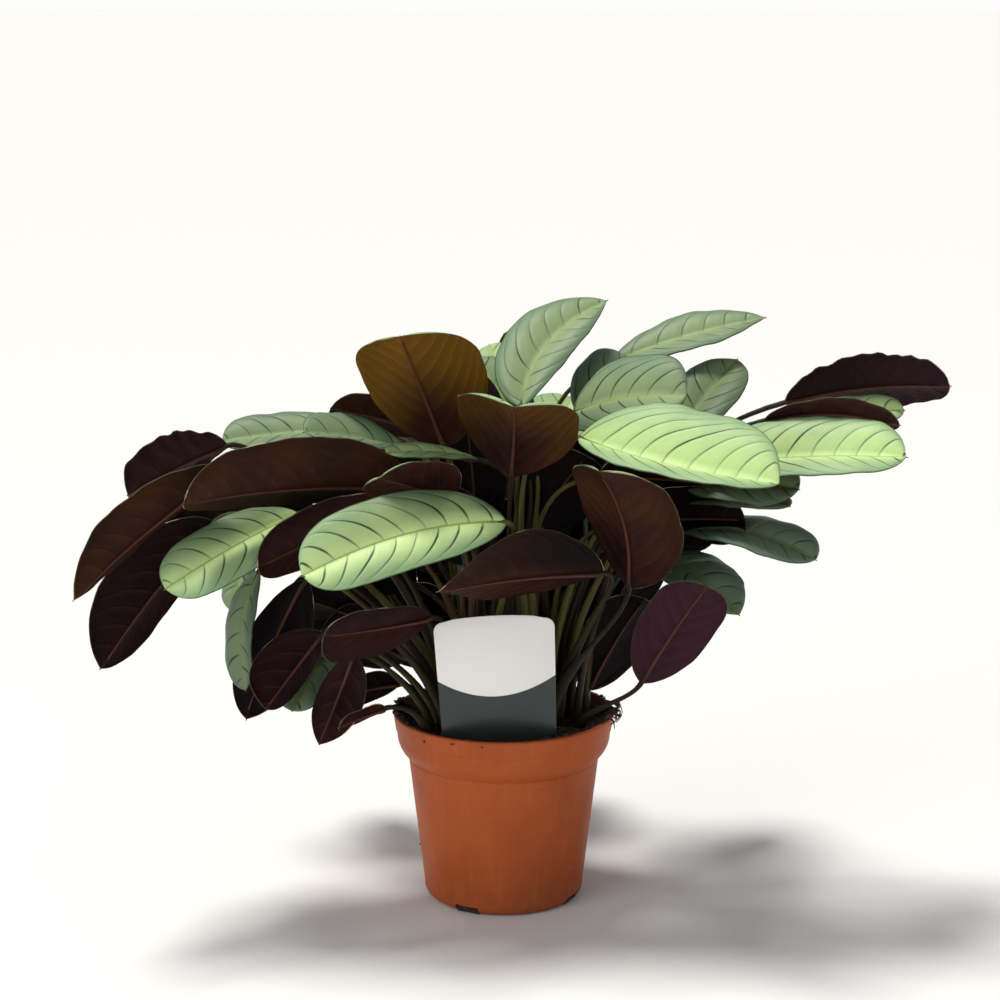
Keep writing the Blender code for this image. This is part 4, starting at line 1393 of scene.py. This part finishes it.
@dataclass
class Soil:
    """The potting mix in millimetres: a rough top in the pot, with loose crumbs and roots.

    spills gives the middle and the spread in degrees of each heap of crumbs on the lip, and
    specks the place and the radius of single ones. A range is a pair of its ends.
    """

    top_radius: float = 56.3
    top: float = SOIL_TOP
    bottom: float = 1.9
    heap: float = 4.4
    gap: float = 0.3
    rings: int = 34
    steps: int = 150
    roughness: float = 2.0
    plug_size: Triple = (13.2, 6.6, 4.0)
    plug_middle: Triple = (0.0, -37.6, 2.3)
    plug_roughness: float = 0.25
    crumbs: int = 800
    crumb_sizes: tuple[float, float] = (0.5, 1.7)
    spilled: int = 190
    spilled_sizes: tuple[float, float] = (0.35, 1.1)
    spills: tuple[tuple[float, float], ...] = (
        (178.0, 12.0),
        (176.0, 6.0),
        (200.0, 8.0),
        (-6.0, 14.0),
        (90.0, 40.0),
    )
    lip_radius: float = 57.6
    lip_spread: float = 1.3
    lip_edges: tuple[float, float] = (55.0, 59.6)
    lip_top: float = 103.2
    specks: tuple[tuple[float, float, float, float], ...] = (
        (-42.0, -43.0, 98.4, 0.6),
        (-27.0, -53.8, 100.6, 0.8),
        (-11.3, -59.1, 100.6, 0.6),
        (-45.7, -4.0, 27.0, 0.8),
        (60.5, -4.0, 103.8, 2.4),
        (62.0, -1.0, 105.9, 2.0),
        (61.0, -8.0, 102.4, 1.6),
        (63.0, -5.0, 101.0, 1.1),
        (61.4, 3.0, 106.6, 1.3),
        (-58.6, -2.0, 104.8, 2.8),
        (-57.4, 6.0, 105.4, 2.6),
        (-58.4, -8.0, 103.9, 1.9),
        (-56.6, 12.0, 105.0, 2.2),
    )
    roots: int = 14
    root_angles: tuple[float, float] = (-20.0, 6.0)
    root_radii: tuple[float, float] = (0.45, 0.9)
    root_rings: int = 14
    root_sides: int = 6

    def bed(self) -> bmesh.types.BMesh:
        """The body of soil, with its top raised and dented.

        Returns:
            The bmesh in metres.
        """
        pot = Pot()
        inset = pot.wall + self.gap
        corners = [
            (0.0, self.bottom),
            (pot.body_foot_radius - inset - 4.0, self.bottom),
            (pot.body_foot_radius - inset, self.bottom + 4.0),
            (pot.body_top_radius - inset, pot.chamfer_foot - 1.0),
            (pot.band_foot_radius - inset, pot.band_foot + 1.0),
        ]
        shares = [1.0 - step / self.rings for step in range(self.rings + 1)]
        tops = [(self.top_radius * share, self.top + self.heap * share**6) for share in shares]
        bm = lathe(corners + tops, {}, self.steps)
        for vert in bm.verts:
            if vert.co.z > (self.top - 0.5) * MM:
                inside = min(1.0, (self.top_radius * MM - vert.co.xy.length) / (4 * MM))
                rough = noise.fractal(vert.co * 90.0, 1.0, 2.0, 4) * self.roughness
                fine = noise.noise(vert.co * 420.0) * 0.5
                vert.co.z += (rough + fine + 0.2) * MM * (0.35 + 0.65 * inside)
        bmesh.ops.recalc_face_normals(bm, faces=bm.faces)
        return bm

    def plug(self, degrees: float) -> bmesh.types.BMesh:
        """The soil that shows in one drain notch, at its angle from the front: real soil that also serves
        as painted shade inside the notch.

        Args:
            degrees: the notch's angle.

        Returns:
            The bmesh in metres.
        """
        bm = block(self.plug_size)
        bmesh.ops.subdivide_edges(bm, edges=bm.edges, cuts=5, use_grid_fill=True)
        for vert in bm.verts:
            vert.co += wobble(vert.co * 700.0) * self.plug_roughness * MM
        move(bm, self.plug_middle)
        turn(bm, math.radians(degrees))
        return bm

    def crumb(self, rng: random.Random, place: Sequence[float], size: float) -> bmesh.types.BMesh:
        """One crumb of bark or peat.

        Args:
            rng: where its shape and turn come from.
            place: its middle in millimetres.
            size: its radius in millimetres.

        Returns:
            The bmesh in metres.
        """
        bm = bmesh.new()
        bmesh.ops.create_icosphere(bm, subdivisions=1, radius=size * MM)
        for vert in bm.verts:
            vert.co *= rng.uniform(0.6, 1.15)
        bmesh.ops.scale(bm, vec=(rng.uniform(0.8, 2.2), 1.0, rng.uniform(0.35, 0.9)), verts=bm.verts)
        spin, tilt = rng.uniform(0.0, math.tau), rng.uniform(-0.5, 0.5)
        turn(bm, tilt, "X")
        turn(bm, spin)
        move(bm, place)
        return bm

    def scattered(self) -> Iterable[bmesh.types.BMesh]:
        """Makes the crumbs on the soil, those spilled on the lip and the single specks.

        Returns:
            A bmesh for each crumb, in metres.
        """
        rng = random.Random(11)
        for _ in range(self.crumbs):
            angle, reach = rng.uniform(0.0, math.tau), self.top_radius * math.sqrt(rng.random()) * 0.97
            level = self.top + 0.5 + self.heap * (reach / self.top_radius) ** 6
            size = rng.uniform(*self.crumb_sizes) * (1.5 if rng.random() < 0.08 else 1.0)
            yield self.crumb(rng, (math.cos(angle) * reach, math.sin(angle) * reach, level), size)
        for _ in range(self.spilled):
            middle, spread = rng.choice(self.spills)
            angle = math.radians(rng.gauss(middle, spread))
            reach = float(np.clip(rng.gauss(self.lip_radius, self.lip_spread), *self.lip_edges))
            level = self.lip_top + rng.uniform(0.0, 0.8)
            place = (math.cos(angle) * reach, math.sin(angle) * reach, level)
            yield self.crumb(rng, place, rng.uniform(*self.spilled_sizes))
        for *place, size in self.specks:
            yield self.crumb(rng, place, size)

    def root(self, knots: np.ndarray, radius: float) -> bmesh.types.BMesh:
        """One thin root along a few points in millimetres.

        Args:
            knots: the points, a row for each.
            radius: its radius at its thick end, in millimetres.

        Returns:
            The bmesh in metres.
        """

        def place(share: float, round_share: float) -> Vector:
            """Places a point of the tube.

            Args:
                share: how far along it is, from 0 to 1.
                round_share: how far round it is, from 0 to 1.

            Returns:
                The point in metres.
            """
            spot = share * (len(knots) - 1)
            low = min(int(spot), len(knots) - 2)
            blend = spot - low
            blend = blend * blend * (3 - 2 * blend)
            middle = Vector(knots[low] * (1 - blend) + knots[low + 1] * blend)
            middle += wobble(middle * 0.35) * 0.7
            angle = round_share * math.tau
            size = radius * (1.0 - 0.7 * share)
            out = Vector((math.cos(angle), math.sin(angle) * 0.6, math.sin(angle) * 0.8))
            return (middle + out * size) * MM

        return tube(self.root_rings, self.root_sides, place)

    def rim_root(self, rng: random.Random) -> bmesh.types.BMesh:
        """One root that climbs from the soil over the rim and hangs outside it.

        Args:
            rng: where its course and radius come from.

        Returns:
            The bmesh in metres.
        """
        angle = math.radians(rng.uniform(*self.root_angles))
        lean = np.array((math.cos(angle), math.sin(angle)))
        inner, crest = lean * 53.0, lean * 59.0
        outer = lean * (61.5 + rng.uniform(0.0, 3.5))
        over = 104.3 + rng.uniform(0.0, 1.2)
        bend = (outer[0], outer[1] + rng.uniform(-3.0, 3.0), 104.0 + rng.uniform(-3.0, 4.0))
        end = (
            outer[0] + rng.uniform(-2.0, 3.0),
            outer[1] + rng.uniform(-5.0, 5.0),
            100.0 + rng.uniform(-4.0, 6.0),
        )
        knots = np.array(((*inner, 98.0), (*crest, over), bend, end))
        return self.root(knots, rng.uniform(*self.root_radii))

    def build(self) -> None:
        """Makes the soil, its crumbs and the roots on the rim."""
        bed = merged((self.bed(), *(self.plug(angle) for angle in Pot().notch_angles)))
        new_object("soil_bed", bed, [Earth().build("soil_mix")], "soil", ["soil"])
        bark = Earth(peat=(0.022, 0.014, 0.009)).build("crumb_mix")
        new_object("soil_crumbs", merged(self.scattered()), [bark], "soil")
        rng = random.Random(12)
        roots = merged(self.rim_root(rng) for _ in range(self.roots))
        new_object("rim_roots", roots, [RootSkin().build()], "soil")


@dataclass
class Tag:
    """The plant tag, in millimetres about its centre line at the soil's top."""

    top_width: float = 63.0
    foot_width: float = 60.0
    stake_width: float = 20.0
    thickness: float = 0.8
    shoulder: float = 101.0
    top: float = 165.0
    crown: float = 2.4
    crown_shares: tuple[float, ...] = (0.66, 0.5, 0.33, 0.16)
    corner: float = 5.0
    corner_steps: int = 12
    edge_rounding: float = 0.12
    depth: float = 62.0
    centre: tuple[float, float] = (-2.0, -44.0)
    lean: float = 2.8
    sharp_angle: float = 30.0

    def outline(self) -> list[tuple[float, float]]:
        """Its right half from the foot up, then its left half down.

        Returns:
            The corners, each across and up from the middle of the foot at the soil.
        """
        foot, shoulder, top = self.depth - SOIL_TOP, self.shoulder - SOIL_TOP, self.top - SOIL_TOP
        half_top, half_foot, half_stake = self.top_width / 2, self.foot_width / 2, self.stake_width / 2
        right = [
            (half_stake, foot),
            (half_stake, 0.8),
            (half_stake + (half_foot - half_stake) * 0.9, shoulder),
            (half_foot, shoulder + 1.0),
        ]
        for step in range(self.corner_steps + 1):
            angle = math.pi / 2 * step / self.corner_steps
            out = self.corner * (1 - math.cos(angle))
            right.append((half_top - out, top - self.corner * (1 - math.sin(angle))))
        for share in self.crown_shares:
            right.append((half_top * share, top + self.crown * (1 - share**2)))
        return right + [(0.0, top + self.crown)] + [(-x, z) for x, z in reversed(right)]

    def build(self) -> None:
        """Makes the tag."""
        bm = bmesh.new()
        front = [bm.verts.new((x * MM, -self.thickness / 2 * MM, z * MM)) for x, z in self.outline()]
        face = bm.faces.new(front)
        moved = bmesh.ops.extrude_face_region(bm, geom=[face])["geom"]
        back = [item for item in moved if isinstance(item, bmesh.types.BMVert)]
        bmesh.ops.translate(bm, vec=(0.0, self.thickness * MM, 0.0), verts=back)
        bmesh.ops.recalc_face_normals(bm, faces=bm.faces)
        sharp = [edge for edge in bm.edges if len(edge.link_faces) == 2 and edge.calc_face_angle(0.0) > 1.0]
        rims = [edge for edge in sharp if abs(edge.verts[0].co.y - edge.verts[1].co.y) < WELD]
        bevel(bm, rims, self.edge_rounding, 2)
        turn(bm, -math.radians(self.lean), "Y")
        move(bm, (*self.centre, SOIL_TOP))
        tag = new_object("tag_card", bm, [TagPrint().build()], "plant_tag", ["plant_tag"])
        tag.data.set_sharp_from_angle(angle=math.radians(self.sharp_angle))


# Camera, floor and light


@dataclass
class Studio:
    """The camera at the photograph's angle, the pale floor and the soft light, in metres."""

    eye: Triple = (-0.002, -1.2, 0.4758)
    pitch: float = 0.2106
    lens: float = 82.84
    sensor: float = 36.0
    floor_size: float = 400.0
    sun_strength: float = 3.1
    sun_softness: float = 16.0
    sun_colour: Colour = (1.0, 0.97, 0.92)
    sun_from: Triple = (-0.22, 0.12, 0.97)
    sky: Colour = (0.975, 0.975, 0.965)
    sky_strength: float = 0.32
    haze_strength: float = 1.0
    haze_heights: tuple[float, float] = (0.04, 0.25)
    lamp_from: Triple = (-1.5, -1.5, 1.0)
    lamp_aim: Triple = (0.0, 0.0, 0.12)
    lamp_size: float = 1.3
    lamp_power: float = 13.0

    def placed(self, name: str, data: Any, place: Sequence[float], turned: Any) -> bpy.types.Object:
        """Puts a camera or a lamp into the scene.

        Args:
            name: its name.
            data: the camera's or the light's data.
            place: where it stands.
            turned: its Euler angles.

        Returns:
            The object.
        """
        made = bpy.data.objects.new(name, data)
        made.location = place
        made.rotation_euler = turned
        bpy.context.scene.collection.objects.link(made)
        return made

    def build(self) -> None:
        """Makes the camera, the floor and the lights."""
        camera = bpy.data.cameras.new("camera")
        camera.lens = self.lens
        camera.sensor_width = self.sensor
        turned = (math.pi / 2 - self.pitch, 0.0, 0.0)
        bpy.context.scene.camera = self.placed("camera", camera, self.eye, turned)
        bm = bmesh.new()
        bmesh.ops.create_grid(bm, x_segments=1, y_segments=1, size=self.floor_size)
        new_object("floor", bm, [FloorPaint().build()])
        sun = bpy.data.lights.new("sun", "SUN")
        sun.energy = self.sun_strength
        sun.angle = math.radians(self.sun_softness)
        sun.color = self.sun_colour
        self.placed("sun", sun, (0.0, 0.0, 0.0), Vector(self.sun_from).to_track_quat("Z", "Y").to_euler())
        fill = bpy.data.lights.new("fill", "AREA")
        fill.size = self.lamp_size
        fill.energy = self.lamp_power
        aim = Vector(self.lamp_from) - Vector(self.lamp_aim)
        self.placed("fill", fill, self.lamp_from, aim.to_track_quat("Z", "Y").to_euler())
        self.sky_light()
        bpy.context.scene.view_settings.view_transform = "Standard"

    def sky_light(self) -> None:
        """Makes the world: pale at the horizon, where it meets the floor, and dimmer above."""
        world = bpy.data.worlds.new("studio")
        world.use_nodes = True
        nodes, links = world.node_tree.nodes, world.node_tree.links
        background = nodes["Background"]
        background.inputs["Color"].default_value = (*self.sky, 1.0)
        place = nodes.new("ShaderNodeTexCoord")
        parts = nodes.new("ShaderNodeSeparateXYZ")
        fade = nodes.new("ShaderNodeMapRange")
        ends = (*self.haze_heights, self.haze_strength, self.sky_strength)
        for name, value in zip(RANGE_ENDS, ends):
            fade.inputs[name].default_value = value
        links.new(place.outputs["Generated"], parts.inputs[0])
        links.new(parts.outputs["Z"], fade.inputs["Value"])
        links.new(fade.outputs[0], background.inputs["Strength"])
        bpy.context.scene.world = world


def main() -> None:
    """Builds the studio, the pot, the soil, the tag and the leaves, in that order."""
    logging.basicConfig(level=logging.INFO, format="%(name)s %(message)s")
    for part in (Studio(), Pot(), Soil(), Tag(), Foliage()):
        part.build()


if __name__ == "__main__":
    main()
